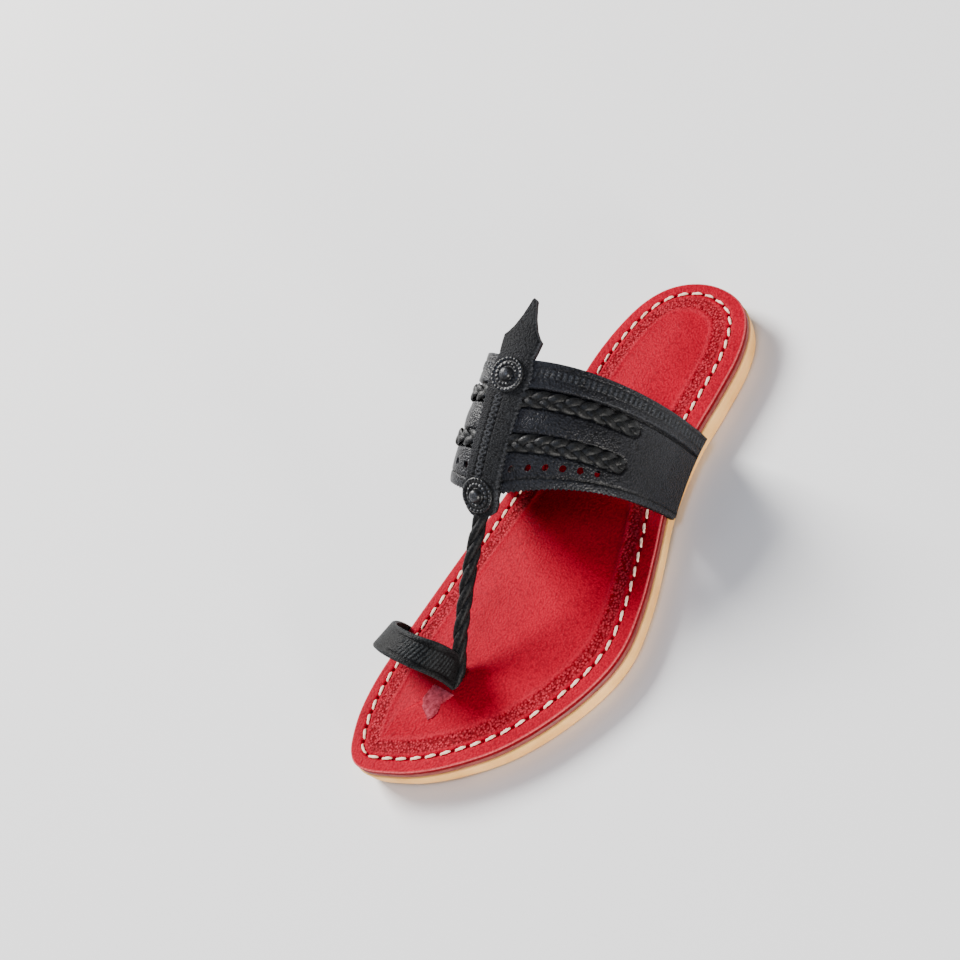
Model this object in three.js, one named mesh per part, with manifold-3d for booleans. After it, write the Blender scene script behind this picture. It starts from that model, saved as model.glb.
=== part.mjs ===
// Kolhapuri sandal, left foot: crepe outsole, two leather layers, an instep band with a
// spear-shaped centre strap, a twisted toe post and a toe ring.
// Millimetres, +Z up. The toe points to -Y and the outer side of the foot is +X. The origin is on
// the floor, under the middle of the sandal seen from above.
import * as THREE from 'three';
import * as BufferGeometryUtils from 'three/addons/utils/BufferGeometryUtils.js';
import Module from 'manifold-3d';

const wasm = await Module();
wasm.setup();

// Sole
const SOLE_LENGTH = 255.5;
const BALL_WIDTH = 96;
const OUTSOLE_BALL = 7.4;
const OUTSOLE_HEEL = 9.4;
const TOE_SPRING = 2.6;
const WAIST_RISE = 1.0;
const MIDSOLE_WALL = 1.9;
const INSOLE_WALL = 2.5;
const SEAT_GAP = 0.3;
const STITCH_INSET = 6.3;
const STITCH_GROOVE = 0.5;
const BORDER_INSET = 14;
const BORDER_RISE = 0.5;
const PAD_RISE = 0.9;

// Upper
const INSTEP_RISE = 65.8;
const STRAP_WALL = 2.2;
const TAIL_WALL = 1.7;
const TAIL_REACH = 9;
const FOOT_STAND = 0.5;
const BAND_BOW = 3.1;
const EDGE_STEP = 0.6;
const CENTRE_WIDTH = 17;
const CENTRE_WALL = 2.4;
const CENTRE_CROWN_RADIUS = 34;
const CENTRE_ROLL = 0.14;
const SPEAR_SLOPE = 0.28;
const FRONT_END_DROP = 0.75;
const BRAID_WIDTH = 6.6;
const BRAID_RISE = 2;
const BRAID_PITCH = 8.5;
const HOLE_RADIUS = 1.4;
const HOLE_PITCH = 6.9;
const HOLES_PER_SIDE = 6;
const HOLE_ROW = 0.16;
const CORD_RADIUS = 2.9;
const CORD_STRANDS = 3;
const STRAND_RISE = 0.14;
const CORD_TWIST_LENGTH = 27;
const RING_WALL = 2.2;
const RING_RISE = 26;
const BOSS_RADIUS = 7.2;
const BOSS_RISE = 3.6;
const TAB_WALL = 0.8;
const TAB_LENGTH = 13.4;
const TAB_WIDTH = 12;

// Stations from toe to heel: 'along' is a share of the length, 'inner' and 'outer' are shares
// of the ball width to either side of the middle line.
const OUTLINE = [
  { along: 0, inner: -0.276, outer: -0.276 },
  { along: 0.012, inner: -0.357, outer: -0.158 },
  { along: 0.035, inner: -0.404, outer: -0.034 },
  { along: 0.08, inner: -0.459, outer: 0.124 },
  { along: 0.14, inner: -0.491, outer: 0.276 },
  { along: 0.22, inner: -0.498, outer: 0.404 },
  { along: 0.3, inner: -0.495, outer: 0.484 },
  { along: 0.36, inner: -0.491, outer: 0.499 },
  { along: 0.43, inner: -0.485, outer: 0.46 },
  { along: 0.51, inner: -0.476, outer: 0.386 },
  { along: 0.6, inner: -0.465, outer: 0.295 },
  { along: 0.7, inner: -0.466, outer: 0.237 },
  { along: 0.8, inner: -0.484, outer: 0.222 },
  { along: 0.88, inner: -0.465, outer: 0.202 },
  { along: 0.94, inner: -0.415, outer: 0.148 },
  { along: 0.98, inner: -0.322, outer: 0.052 },
  { along: 1, inner: -0.14, outer: -0.14 },
];

// Edges of the instep band. Crown and foot places are shares of the ball width, sole length and
// instep rise; the last three of each side shape the arch between crown and foot.
const BAND = [
  {
    edge: 'front', crownAcross: -0.167, crownAlong: -0.066, crownRise: 0.66,
    outerAlong: 0.083, outerRound: 0.7, outerDrop: 0.8, outerLean: 0.35,
    innerAlong: 0.042, innerRound: 0.55, innerDrop: 0.61, innerLean: 1,
  },
  {
    edge: 'rear', crownAcross: -0.222, crownAlong: 0.131, crownRise: 1,
    outerAlong: 0.232, outerRound: 0.98, outerDrop: 0.92, outerLean: 0.55,
    innerAlong: 0.198, innerRound: 0.47, innerDrop: 0.61, innerLean: 1,
  },
];
const BULGE = { inner: 4, outer: 0.8 };

// Half widths of the centre strap as shares of its width, from its front end to the spear's tip.
// 'reach' is a share of the band's width at the crown: 0 its front edge, 1 its rear edge.
const CENTRE = [
  { part: 'front end', reach: -0.13, half: 0.2 },
  { part: 'front end', reach: -0.1, half: 0.36 },
  { part: 'front boss', reach: 0.0, half: 0.46 },
  { part: 'body', reach: 0.14, half: 0.47 },
  { part: 'body', reach: 0.32, half: 0.48 },
  { part: 'body', reach: 0.5, half: 0.49 },
  { part: 'body', reach: 0.66, half: 0.5 },
  { part: 'rear boss', reach: 0.78, half: 0.55 },
  { part: 'rear boss', reach: 0.87, half: 0.58 },
  { part: 'rear boss', reach: 0.95, half: 0.55 },
  { part: 'neck', reach: 1.03, half: 0.47 },
  { part: 'shoulder', reach: 1.15, half: 0.51 },
  { part: 'spear', reach: 1.18, half: 0.4 },
  { part: 'spear', reach: 1.22, half: 0.3 },
  { part: 'spear', reach: 1.3, half: 0.17 },
  { part: 'tip', reach: 1.42, half: 0.05 },
];

// Raised plaits on each half of the band, by their start and end from the crown and their middle
// line as a share of the band's width.
const BRAIDS = [
  { name: 'rear', from: 7, to: 58, start: 0.7, end: 0.66 },
  { name: 'front', from: 7, to: 56, start: 0.36, end: 0.28 },
];

// The toe post's middle line, from the insole to the centre strap: shares of its run and rise,
// and its sideways bow in millimetres.
const POST = [
  { run: -0.01, rise: -0.01, bow: 0 },
  { run: 0.1, rise: 0.12, bow: 0 },
  { run: 0.24, rise: 0.31, bow: -0.2 },
  { run: 0.45, rise: 0.53, bow: -0.4 },
  { run: 0.68, rise: 0.76, bow: -0.3 },
  { run: 0.88, rise: 0.93, bow: 0 },
  { run: 1, rise: 1, bow: 0 },
];
const POST_BASE = { across: -0.104, along: -0.308 };
const POST_HOLE = { radius: 1.25, stretch: 1.75, back: 0.4 };

// Edges of the toe ring, from the toe post over the big toe to the sole's inner side.
const RING = [
  { edge: 'front', postAlong: -0.323, postRise: 0.5, footAlong: -0.316, rise: 1.04, lean: 5, round: 0.5 },
  { edge: 'rear', postAlong: -0.274, postRise: 9, footAlong: -0.262, rise: 0.9, lean: 5.5, round: 0.55 },
];

// Turned profile of a boss from its back to its top: shares of its radius and its rise.
const BOSS = [
  { part: 'back', radius: 0, rise: 0 },
  { part: 'back', radius: 0.94, rise: 0 },
  { part: 'rim', radius: 1, rise: 0.14 },
  { part: 'rim', radius: 0.97, rise: 0.31 },
  { part: 'rim', radius: 0.84, rise: 0.38 },
  { part: 'groove', radius: 0.72, rise: 0.26 },
  { part: 'bead ring', radius: 0.62, rise: 0.44 },
  { part: 'bead ring', radius: 0.5, rise: 0.42 },
  { part: 'groove', radius: 0.4, rise: 0.31 },
  { part: 'knob', radius: 0.375, rise: 0.62 },
  { part: 'knob', radius: 0.27, rise: 0.88 },
  { part: 'knob', radius: 0.13, rise: 0.98 },
  { part: 'top', radius: 0, rise: 1 },
];

// Worn outline of the toe tab: shares of its width, from the toe post, and of its length.
const TAB = [
  { across: -0.71, along: 0 }, { across: 0.25, along: 0 }, { across: 0.19, along: 0.1 },
  { across: 0, along: 0.43 }, { across: 0.03, along: 0.53 }, { across: 0.06, along: 0.76 },
  { across: -0.11, along: 1 }, { across: -0.23, along: 0.92 }, { across: -0.57, along: 0.78 },
  { across: -0.78, along: 0.51 }, { across: -0.73, along: 0.14 },
];

const { lerp, smoothstep } = THREE.MathUtils;

// Outline of the sole

const stations = OUTLINE.map((row) => ({ ...row, turn: Math.acos(1 - 2 * row.along) }));
const rim = [
  ...stations.map((row) => ({ turn: row.turn, across: row.outer })),
  ...stations.slice(1, -1).reverse().map((row) => ({ turn: 2 * Math.PI - row.turn, across: row.inner })),
];

// A point of the outline for a turn from 0 at the toe, over the outer side, to the heel at pi.
function outlinePoint(turn) {
  const full = 2 * Math.PI;
  const at = ((turn % full) + full) % full;
  const count = rim.length;
  const i = rim.findIndex((row, k) => at >= row.turn && at < (rim[k + 1]?.turn ?? full));
  const row = (k) => {
    const wrapped = rim[(k + count) % count];
    return { across: wrapped.across, turn: wrapped.turn + full * Math.floor(k / count) };
  };
  const [a, b, c, d] = [row(i - 1), row(i), row(i + 1), row(i + 2)];
  const span = c.turn - b.turn;
  const t = (at - b.turn) / span;
  const slopeB = (span * (c.across - a.across)) / (c.turn - a.turn);
  const slopeC = (span * (d.across - b.across)) / (d.turn - b.turn);
  const share = (2 * t ** 3 - 3 * t ** 2 + 1) * b.across + (t ** 3 - 2 * t ** 2 + t) * slopeB
    + (3 * t ** 2 - 2 * t ** 3) * c.across + (t ** 3 - t ** 2) * slopeC;
  return new THREE.Vector2(share * BALL_WIDTH, (-SOLE_LENGTH / 2) * Math.cos(at));
}

function insetPoint(turn, inset) {
  const along = outlinePoint(turn + 0.02).sub(outlinePoint(turn - 0.02)).normalize();
  return outlinePoint(turn).add(new THREE.Vector2(-along.y, along.x).multiplyScalar(inset));
}

const outerTurn = (y) => Math.acos((-2 * y) / SOLE_LENGTH);
const sideTurn = (side, y) => (side > 0 ? outerTurn(y) : 2 * Math.PI - outerTurn(y));

// Heights along the sole

const lengthShare = (y) => y / SOLE_LENGTH + 0.5;
const TOE_BREAK = 0.24;
const WAIST = { start: 0.46, middle: 0.57, end: 0.68 };

function toeLift(y) {
  return TOE_SPRING * Math.max(0, 1 - lengthShare(y) / TOE_BREAK) ** 2;
}

function floorSide(y) {
  const s = lengthShare(y);
  const waist = smoothstep(s, WAIST.start, WAIST.middle) * (1 - smoothstep(s, WAIST.middle, WAIST.end));
  return toeLift(y) + WAIST_RISE * waist;
}

function outsoleTop(y) {
  return toeLift(y) + lerp(OUTSOLE_BALL, OUTSOLE_HEEL, smoothstep(lengthShare(y), 0.45, 0.78));
}

const midsoleTop = (y) => outsoleTop(y) + SEAT_GAP + MIDSOLE_WALL;
const insoleTop = (y) => midsoleTop(y) + SEAT_GAP + INSOLE_WALL;

// Solids and meshes

function geometryOf(points, faces) {
  let volume = 0;
  for (const [a, b, c] of faces) {
    volume += points[a].dot(new THREE.Vector3().crossVectors(points[b], points[c]));
  }
  const wound = volume > 0 ? faces : faces.map(([a, b, c]) => [a, c, b]);
  const geometry = new THREE.BufferGeometry();
  geometry.setAttribute('position', new THREE.Float32BufferAttribute(points.flatMap((p) => p.toArray()), 3));
  geometry.setIndex(wound.flat());
  return geometry;
}

function solidOf(geometry) {
  const bare = geometry.clone();
  bare.deleteAttribute('normal');
  bare.deleteAttribute('uv');
  const merged = BufferGeometryUtils.mergeVertices(bare, 1e-4);
  return new wasm.Manifold(new wasm.Mesh({
    numProp: 3,
    vertProperties: new Float32Array(merged.attributes.position.array),
    triVerts: new Uint32Array(merged.index.array),
  }));
}

function geometryFrom(solid) {
  const mesh = solid.getMesh();
  const geometry = new THREE.BufferGeometry();
  geometry.setAttribute('position', new THREE.BufferAttribute(mesh.vertProperties, 3));
  geometry.setIndex(new THREE.BufferAttribute(mesh.triVerts, 1));
  return geometry;
}

// A closed wall between an outer and an inner grid of points with the same rows and columns.
function wall(rows, columns, outerAt, innerAt) {
  const points = [];
  for (const at of [outerAt, innerAt]) {
    for (let i = 0; i <= rows; i++) {
      for (let j = 0; j <= columns; j++) points.push(at(i, j));
    }
  }
  const sheet = (rows + 1) * (columns + 1);
  const outer = (i, j) => i * (columns + 1) + j;
  const inner = (i, j) => sheet + outer(i, j);
  const faces = [];
  const quad = (a, b, c, d) => faces.push([a, b, c], [a, c, d]);
  for (let i = 0; i < rows; i++) {
    for (let j = 0; j < columns; j++) {
      quad(outer(i, j), outer(i, j + 1), outer(i + 1, j + 1), outer(i + 1, j));
      quad(inner(i, j), inner(i + 1, j), inner(i + 1, j + 1), inner(i, j + 1));
    }
    quad(outer(i, 0), outer(i + 1, 0), inner(i + 1, 0), inner(i, 0));
    quad(outer(i, columns), inner(i, columns), inner(i + 1, columns), outer(i + 1, columns));
  }
  for (let j = 0; j < columns; j++) {
    quad(outer(0, j), inner(0, j), inner(0, j + 1), outer(0, j + 1));
    quad(outer(rows, j), outer(rows, j + 1), inner(rows, j + 1), inner(rows, j));
  }
  return geometryOf(points, faces);
}

// A closed skin of rings along a path, with a flat end on each.
function rope(rings, sides, pointAt) {
  const points = [];
  for (let i = 0; i <= rings; i++) {
    for (let j = 0; j < sides; j++) points.push(pointAt(i, j));
  }
  const at = (i, j) => i * sides + (j % sides);
  const faces = [];
  for (let i = 0; i < rings; i++) {
    for (let j = 0; j < sides; j++) {
      faces.push([at(i, j), at(i, j + 1), at(i + 1, j + 1)], [at(i, j), at(i + 1, j + 1), at(i + 1, j)]);
    }
  }
  for (let j = 1; j < sides - 1; j++) {
    faces.push([at(0, 0), at(0, j + 1), at(0, j)], [at(rings, 0), at(rings, j), at(rings, j + 1)]);
  }
  return geometryOf(points, faces);
}

// Sole layers: rings of the outline, set in or out and lifted from the layer's under or over
// side, closed by ribs from the outer to the inner side.

const RIM_STEPS = 80;

function soleLayer(rings, under, over, ribs, pad) {
  const points = [];
  const half = RIM_STEPS / 2;
  const turnOf = (i) => (2 * Math.PI * i) / RIM_STEPS;
  for (const ring of rings) {
    const height = ring.from === 'under' ? under : over;
    for (let i = 0; i < RIM_STEPS; i++) {
      const p = insetPoint(turnOf(i), ring.inset);
      points.push(new THREE.Vector3(p.x, p.y, height(p.y) + ring.rise));
    }
  }
  const faces = [];
  const quad = (a, b, c, d) => faces.push([a, b, c], [a, c, d]);
  for (let r = 0; r < rings.length - 1; r++) {
    for (let i = 0; i < RIM_STEPS; i++) {
      const next = (i + 1) % RIM_STEPS;
      const low = r * RIM_STEPS;
      const high = low + RIM_STEPS;
      quad(low + i, low + next, high + next, high + i);
    }
  }
  const cap = (base, steps, lift, top) => {
    const face = (...corners) => (top ? corners : corners.reverse());
    const rib = [];
    for (let k = 0; k <= half; k++) {
      const a = points[base + k];
      const b = points[base + ((RIM_STEPS - k) % RIM_STEPS)];
      const row = [base + k];
      for (let j = 1; j < steps; j++) {
        const p = new THREE.Vector3().lerpVectors(a, b, j / steps);
        p.z += lift * Math.sin((Math.PI * j) / steps) * Math.sqrt(Math.sin(turnOf(k)));
        points.push(p);
        row.push(points.length - 1);
      }
      row.push(base + ((RIM_STEPS - k) % RIM_STEPS));
      rib.push(k === 0 || k === half ? [base + k] : row);
    }
    for (let k = 0; k < half; k++) {
      const [a, b] = [rib[k], rib[k + 1]];
      for (let j = 0; j < steps; j++) {
        if (a.length === 1) faces.push(face(a[0], b[j], b[j + 1]));
        else if (b.length === 1) faces.push(face(a[j], b[0], a[j + 1]));
        else faces.push(face(a[j], b[j], b[j + 1]), face(a[j], b[j + 1], a[j + 1]));
      }
    }
  };
  cap(0, 1, 0, false);
  cap((rings.length - 1) * RIM_STEPS, ribs, pad, true);
  const used = [...new Set(faces.flat())].sort((a, b) => a - b);
  const place = new Map(used.map((index, i) => [index, i]));
  return geometryOf(used.map((i) => points[i]), faces.map((f) => f.map((i) => place.get(i))));
}

function outsole() {
  return soleLayer([
    { inset: 1.6, from: 'under', rise: 0 },
    { inset: 0.4, from: 'under', rise: 0.7 },
    { inset: 0, from: 'under', rise: 2.6 },
    { inset: -0.5, from: 'over', rise: -1 },
    { inset: -0.2, from: 'over', rise: 0 },
  ], floorSide, outsoleTop, 1, 0);
}

function midsole() {
  const under = (y) => outsoleTop(y) + SEAT_GAP;
  return soleLayer([
    { inset: 0.6, from: 'under', rise: 0 },
    { inset: 0.1, from: 'under', rise: 0.5 },
    { inset: 0.4, from: 'over', rise: 0 },
  ], under, midsoleTop, 1, 0);
}

function insole() {
  const under = (y) => midsoleTop(y) + SEAT_GAP;
  const groove = 0.9;
  return soleLayer([
    { inset: 0.5, from: 'under', rise: 0 },
    { inset: 0, from: 'under', rise: 0.5 },
    { inset: 0.1, from: 'over', rise: -0.6 },
    { inset: 1, from: 'over', rise: 0 },
    { inset: STITCH_INSET - groove, from: 'over', rise: 0 },
    { inset: STITCH_INSET, from: 'over', rise: -STITCH_GROOVE },
    { inset: STITCH_INSET + groove, from: 'over', rise: 0 },
    { inset: BORDER_INSET - 0.6, from: 'over', rise: BORDER_RISE * 0.3 },
    { inset: BORDER_INSET, from: 'over', rise: BORDER_RISE },
    { inset: BORDER_INSET + 1.4, from: 'over', rise: 0 },
  ], under, insoleTop, 6, PAD_RISE);
}

// Instep band: its outer face as a function of the distance from the crown, measured over the
// arch with the outer side positive, and of its width share from front edge to rear edge.

function bandRow(v) {
  const [front, rear] = BAND;
  const mix = (key) => lerp(front[key], rear[key], v);
  const y = mix('crownAlong') * SOLE_LENGTH;
  const bow = v > 0 && v < 1 ? BAND_BOW * Math.sin(Math.PI * v ** 0.6) : 0;
  const crown = new THREE.Vector3(
    mix('crownAcross') * BALL_WIDTH, y, insoleTop(y) + mix('crownRise') * INSTEP_RISE + bow,
  );
  const foot = (side, key) => {
    const footY = mix(key) * SOLE_LENGTH;
    const p = insetPoint(sideTurn(side, footY), -(FOOT_STAND + STRAP_WALL));
    return new THREE.Vector3(p.x, footY, outsoleTop(footY) - TAIL_WALL);
  };
  return {
    crown,
    outer: { foot: foot(1, 'outerAlong'), round: mix('outerRound'), drop: mix('outerDrop'), lean: mix('outerLean') },
    inner: { foot: foot(-1, 'innerAlong'), round: mix('innerRound'), drop: mix('innerDrop'), lean: mix('innerLean') },
  };
}

const ARCH_STEPS = 64;

// Half an arch from crown to foot: a flattened ellipse that leans along the sole.
function halfArch(v, side) {
  const row = bandRow(v);
  const half = side > 0 ? row.outer : row.inner;
  const bulge = side * (side > 0 ? BULGE.outer : BULGE.inner);
  const points = [];
  for (let i = 0; i <= ARCH_STEPS; i++) {
    const angle = (Math.PI / 2) * (i / ARCH_STEPS);
    const height = i === ARCH_STEPS ? 0 : Math.cos(angle) ** half.drop;
    const out = Math.sin(angle) ** half.round;
    points.push(new THREE.Vector3(
      lerp(row.crown.x, half.foot.x, out) + bulge * Math.sin(Math.PI * height),
      lerp(row.crown.y, half.foot.y, (1 - height) ** half.lean),
      lerp(half.foot.z, row.crown.z, height),
    ));
  }
  const reach = [0];
  for (let i = 1; i < points.length; i++) reach.push(reach[i - 1] + points[i].distanceTo(points[i - 1]));
  return { points, reach, length: reach[ARCH_STEPS] };
}

const arches = new Map();

function archOf(v, side) {
  const key = `${v.toFixed(5)} ${side}`;
  if (!arches.has(key)) arches.set(key, halfArch(v, side));
  return arches.get(key);
}

function bandPoint(fromCrown, v) {
  const arch = archOf(v, fromCrown < 0 ? -1 : 1);
  const reach = Math.min(Math.abs(fromCrown), arch.length);
  let i = 1;
  while (i < ARCH_STEPS && arch.reach[i] < reach) i++;
  const t = (reach - arch.reach[i - 1]) / (arch.reach[i] - arch.reach[i - 1]);
  return new THREE.Vector3().lerpVectors(arch.points[i - 1], arch.points[i], t);
}

function bandNormal(fromCrown, v) {
  const [lowV, highV] = [Math.max(0, v - 0.03), Math.min(1, v + 0.03)];
  const limitOuter = archOf(v, 1).length - 1;
  const limitInner = 1 - archOf(v, -1).length;
  const at = Math.min(limitOuter, Math.max(limitInner, fromCrown));
  const across = bandPoint(at + 2, v).sub(bandPoint(at - 2, v));
  const along = bandPoint(at, highV).sub(bandPoint(at, lowV));
  return across.cross(along).normalize();
}

const onBand = (fromCrown, v, lift) => bandPoint(fromCrown, v).addScaledVector(bandNormal(fromCrown, v), lift);

// Rows across the band's width, with the raised border along its rear edge.
const BAND_ROWS = [
  { v: 0, step: 0 }, { v: 0.1, step: 0 }, { v: 0.22, step: 0 }, { v: 0.36, step: 0 }, { v: 0.5, step: 0 },
  { v: 0.63, step: 0 }, { v: 0.76, step: 0 }, { v: 0.78, step: EDGE_STEP }, { v: 0.97, step: EDGE_STEP },
  { v: 1, step: 0 },
];
const BAND_COLUMNS = 36;

function bandWall() {
  const reach = (v, j) => {
    const share = (2 * j) / BAND_COLUMNS - 1;
    return share * archOf(v, share < 0 ? -1 : 1).length;
  };
  const at = (lift) => (i, j) => {
    const row = BAND_ROWS[i];
    return onBand(reach(row.v, j), row.v, lift(row));
  };
  return wall(BAND_ROWS.length - 1, BAND_COLUMNS, at((row) => row.step), at(() => -STRAP_WALL));
}

// The ends of the band turn in under the midsole, into a pocket in the outsole's top.
function bandTail(side, grow) {
  const steps = 8;
  const reachIn = STRAP_WALL + FOOT_STAND + TAIL_REACH + grow;
  const at = (lift) => (i, j) => {
    const v = lerp(-grow / 9, 1 + grow / 20, i / steps);
    const row = bandRow(v);
    const foot = side > 0 ? row.outer.foot : row.inner.foot;
    const x = j === 0 ? foot.x + side * grow * 8 : foot.x - side * reachIn;
    return new THREE.Vector3(x, foot.y, outsoleTop(foot.y) + lift);
  };
  return wall(steps, 1, at(grow), at(-TAIL_WALL - grow));
}

// The room that a strap's foot takes at the edge of the insole and midsole.
function footNotch(footAt, side, thickness, before, after) {
  const steps = 6;
  const at = (lift) => (i, j) => {
    const share = i / steps;
    const foot = footAt(share);
    const y = foot.y + lerp(-before, after, share);
    const x = j === 0 ? foot.x + side * 12 : foot.x - side * (thickness + SEAT_GAP);
    return new THREE.Vector3(x, y, outsoleTop(y) + lift);
  };
  return wall(steps, 1, at(12), at(-TAIL_WALL));
}

// Centre strap: its path is the band's crown line, run on at both ends.

function crownLine(reach) {
  const inside = Math.min(1, Math.max(0, reach));
  const point = bandRow(inside).crown;
  const width = bandRow(1).crown.distanceTo(bandRow(0).crown);
  const past = (reach - inside) * width;
  const drift = bandRow(1).crown.x - bandRow(0).crown.x;
  if (past > 0) point.add(new THREE.Vector3((drift * past) / width, past, past * SPEAR_SLOPE));
  if (past < 0) {
    point.add(new THREE.Vector3((drift * past) / width, past * FRONT_END_DROP, past * FRONT_END_DROP));
  }
  return point;
}

function crownFrame(reach) {
  const along = crownLine(reach + 0.06).sub(crownLine(reach - 0.06)).normalize();
  const flat = new THREE.Vector3(1, 0, 0).addScaledVector(along, -along.x).normalize();
  const across = flat.applyAxisAngle(along, CENTRE_ROLL);
  const normal = new THREE.Vector3().crossVectors(across, along).normalize();
  return { along, across, normal };
}

function onCentre(reach, sideways, lift) {
  const { across, normal } = crownFrame(reach);
  const sag = sideways ** 2 / (2 * CENTRE_CROWN_RADIUS);
  return crownLine(reach).addScaledVector(across, sideways).addScaledVector(normal, lift - sag);
}

function centreStrap() {
  const columns = 6;
  const spread = (i, j) => ((2 * j) / columns - 1) * CENTRE[i].half * CENTRE_WIDTH;
  const top = (i, j) => onCentre(CENTRE[i].reach, spread(i, j), CENTRE_WALL);
  const under = (i, j) => {
    const { reach } = CENTRE[i];
    const seated = reach > 0.05 && reach < 0.97;
    return seated ? onBand(spread(i, j), reach, -STRAP_WALL / 2) : onCentre(reach, spread(i, j), 0);
  };
  return wall(CENTRE.length - 1, columns, top, under);
}

function braid({ from, to, start, end }, side) {
  const steps = 27;
  const columns = 4;
  const place = (i, j) => {
    const share = i / steps;
    const reach = lerp(from, to, share);
    const round = Math.sqrt(Math.max(0.02, 1 - Math.max(0, (reach - to) / (BRAID_WIDTH / 2) + 1) ** 2));
    const bandWidth = bandPoint(side * reach, 1).distanceTo(bandPoint(side * reach, 0));
    const sideways = (j / columns - 0.5) * BRAID_WIDTH * round;
    const strand = 0.75 + 0.25 * Math.sin((2 * Math.PI * reach) / BRAID_PITCH + (j < 2 ? 0 : Math.PI));
    const crest = Math.sqrt(1 - (2 * Math.abs(j / columns - 0.5)) ** 2 * 0.9);
    return { reach: side * reach, v: lerp(start, end, share) + sideways / bandWidth, lift: BRAID_RISE * strand * crest * round };
  };
  const top = (i, j) => {
    const p = place(i, j);
    return onBand(p.reach, p.v, p.lift);
  };
  const under = (i, j) => {
    const p = place(i, j);
    return onBand(p.reach, p.v, -STRAP_WALL / 2);
  };
  return wall(steps, columns, top, under);
}

function punch(fromCrown, v) {
  const drill = new THREE.CylinderGeometry(HOLE_RADIUS, HOLE_RADIUS, 4 * STRAP_WALL, 10);
  const turn = new THREE.Quaternion().setFromUnitVectors(new THREE.Vector3(0, 1, 0), bandNormal(fromCrown, v));
  drill.applyQuaternion(turn);
  drill.translate(...bandPoint(fromCrown, v).toArray());
  return drill;
}

// Toe post: a cord of twisted strands from the insole up to the centre strap.

const postFoot = new THREE.Vector3(
  POST_BASE.across * BALL_WIDTH, POST_BASE.along * SOLE_LENGTH, insoleTop(POST_BASE.along * SOLE_LENGTH),
);
const postHead = onCentre(-0.07, 0, -CORD_RADIUS / 2);
const postPath = new THREE.CatmullRomCurve3(POST.map(({ run, rise, bow }) => new THREE.Vector3(
  lerp(postFoot.x, postHead.x, run) + bow,
  lerp(postFoot.y, postHead.y, run),
  lerp(postFoot.z, postHead.z, rise),
)));

function toePost() {
  const rings = 42;
  const sides = 12;
  const length = postPath.getLength();
  return rope(rings, sides, (i, j) => {
    const t = i / rings;
    const along = postPath.getTangentAt(t);
    const across = new THREE.Vector3(1, 0, 0).addScaledVector(along, -along.x).normalize();
    const normal = new THREE.Vector3().crossVectors(along, across);
    const angle = (2 * Math.PI * j) / sides;
    const twist = (2 * Math.PI * t * length) / CORD_TWIST_LENGTH;
    const radius = CORD_RADIUS * (1.08 - STRAND_RISE * (1 - Math.cos(CORD_STRANDS * (angle - twist))));
    return postPath.getPointAt(t)
      .addScaledVector(across, radius * Math.cos(angle))
      .addScaledVector(normal, radius * Math.sin(angle));
  });
}

// Toe ring: a flat strap that arches over the big toe, from the toe post to the sole's edge.

function ringPoint(share, width) {
  const [front, rear] = RING;
  const mix = (key) => lerp(front[key], rear[key], width);
  const footY = mix('footAlong') * SOLE_LENGTH;
  const foot = insetPoint(sideTurn(-1, footY), -(FOOT_STAND + RING_WALL));
  const postY = mix('postAlong') * SOLE_LENGTH;
  const postZ = insoleTop(postY) + mix('postRise');
  const footZ = outsoleTop(footY) - TAIL_WALL;
  const swing = Math.PI * share;
  const t = (1 - Math.cos(swing)) / 2;
  const arch = share > 0 && share < 1 ? Math.sin(swing) : 0;
  return new THREE.Vector3(
    lerp(postFoot.x + CORD_RADIUS / 2, foot.x, t),
    lerp(postY, footY, t) - mix('lean') * arch,
    lerp(postZ, footZ, t) + mix('rise') * RING_RISE * arch ** mix('round'),
  );
}

function onRing(share, width, lift) {
  const around = ringPoint(Math.min(1, share + 0.02), width).sub(ringPoint(Math.max(0, share - 0.02), width));
  const across = ringPoint(share, Math.min(1, width + 0.1)).sub(ringPoint(share, Math.max(0, width - 0.1)));
  const normal = new THREE.Vector3().crossVectors(across, around).normalize();
  return ringPoint(share, width).addScaledVector(normal, lift);
}

function ringWall() {
  const steps = 32;
  const columns = 4;
  return wall(
    steps, columns,
    (i, j) => onRing(i / steps, j / columns, 0),
    (i, j) => onRing(i / steps, j / columns, -RING_WALL),
  );
}

const ringFoot = (share) => ringPoint(1, share);

function ringTail(grow) {
  const at = (lift) => (i, j) => {
    const foot = ringFoot(i);
    const y = foot.y + (i === 0 ? -grow : grow);
    const x = j === 0 ? foot.x - grow * 8 : foot.x + RING_WALL + FOOT_STAND + TAIL_REACH + grow;
    return new THREE.Vector3(x, y, outsoleTop(y) + lift);
  };
  return wall(1, 1, at(grow), at(-TAIL_WALL - grow));
}

function postHole() {
  const radius = CORD_RADIUS * POST_HOLE.radius;
  const drill = new THREE.CylinderGeometry(radius, radius, 4 * INSOLE_WALL, 20);
  drill.rotateX(Math.PI / 2);
  drill.scale(1, POST_HOLE.stretch, 1);
  drill.translate(postFoot.x, postFoot.y + CORD_RADIUS * POST_HOLE.back, postFoot.z);
  return drill;
}

// Boss: a turned leather button with a beaded rim and a round knob.
function boss(reach) {
  const profile = BOSS.map((row) => new THREE.Vector2(row.radius * BOSS_RADIUS, row.rise * BOSS_RISE));
  const button = new THREE.LatheGeometry(profile, 20);
  const { normal } = crownFrame(reach);
  button.applyQuaternion(new THREE.Quaternion().setFromUnitVectors(new THREE.Vector3(0, 1, 0), normal));
  button.translate(...onCentre(reach, 0, CENTRE_WALL + SEAT_GAP).toArray());
  return button;
}

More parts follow.
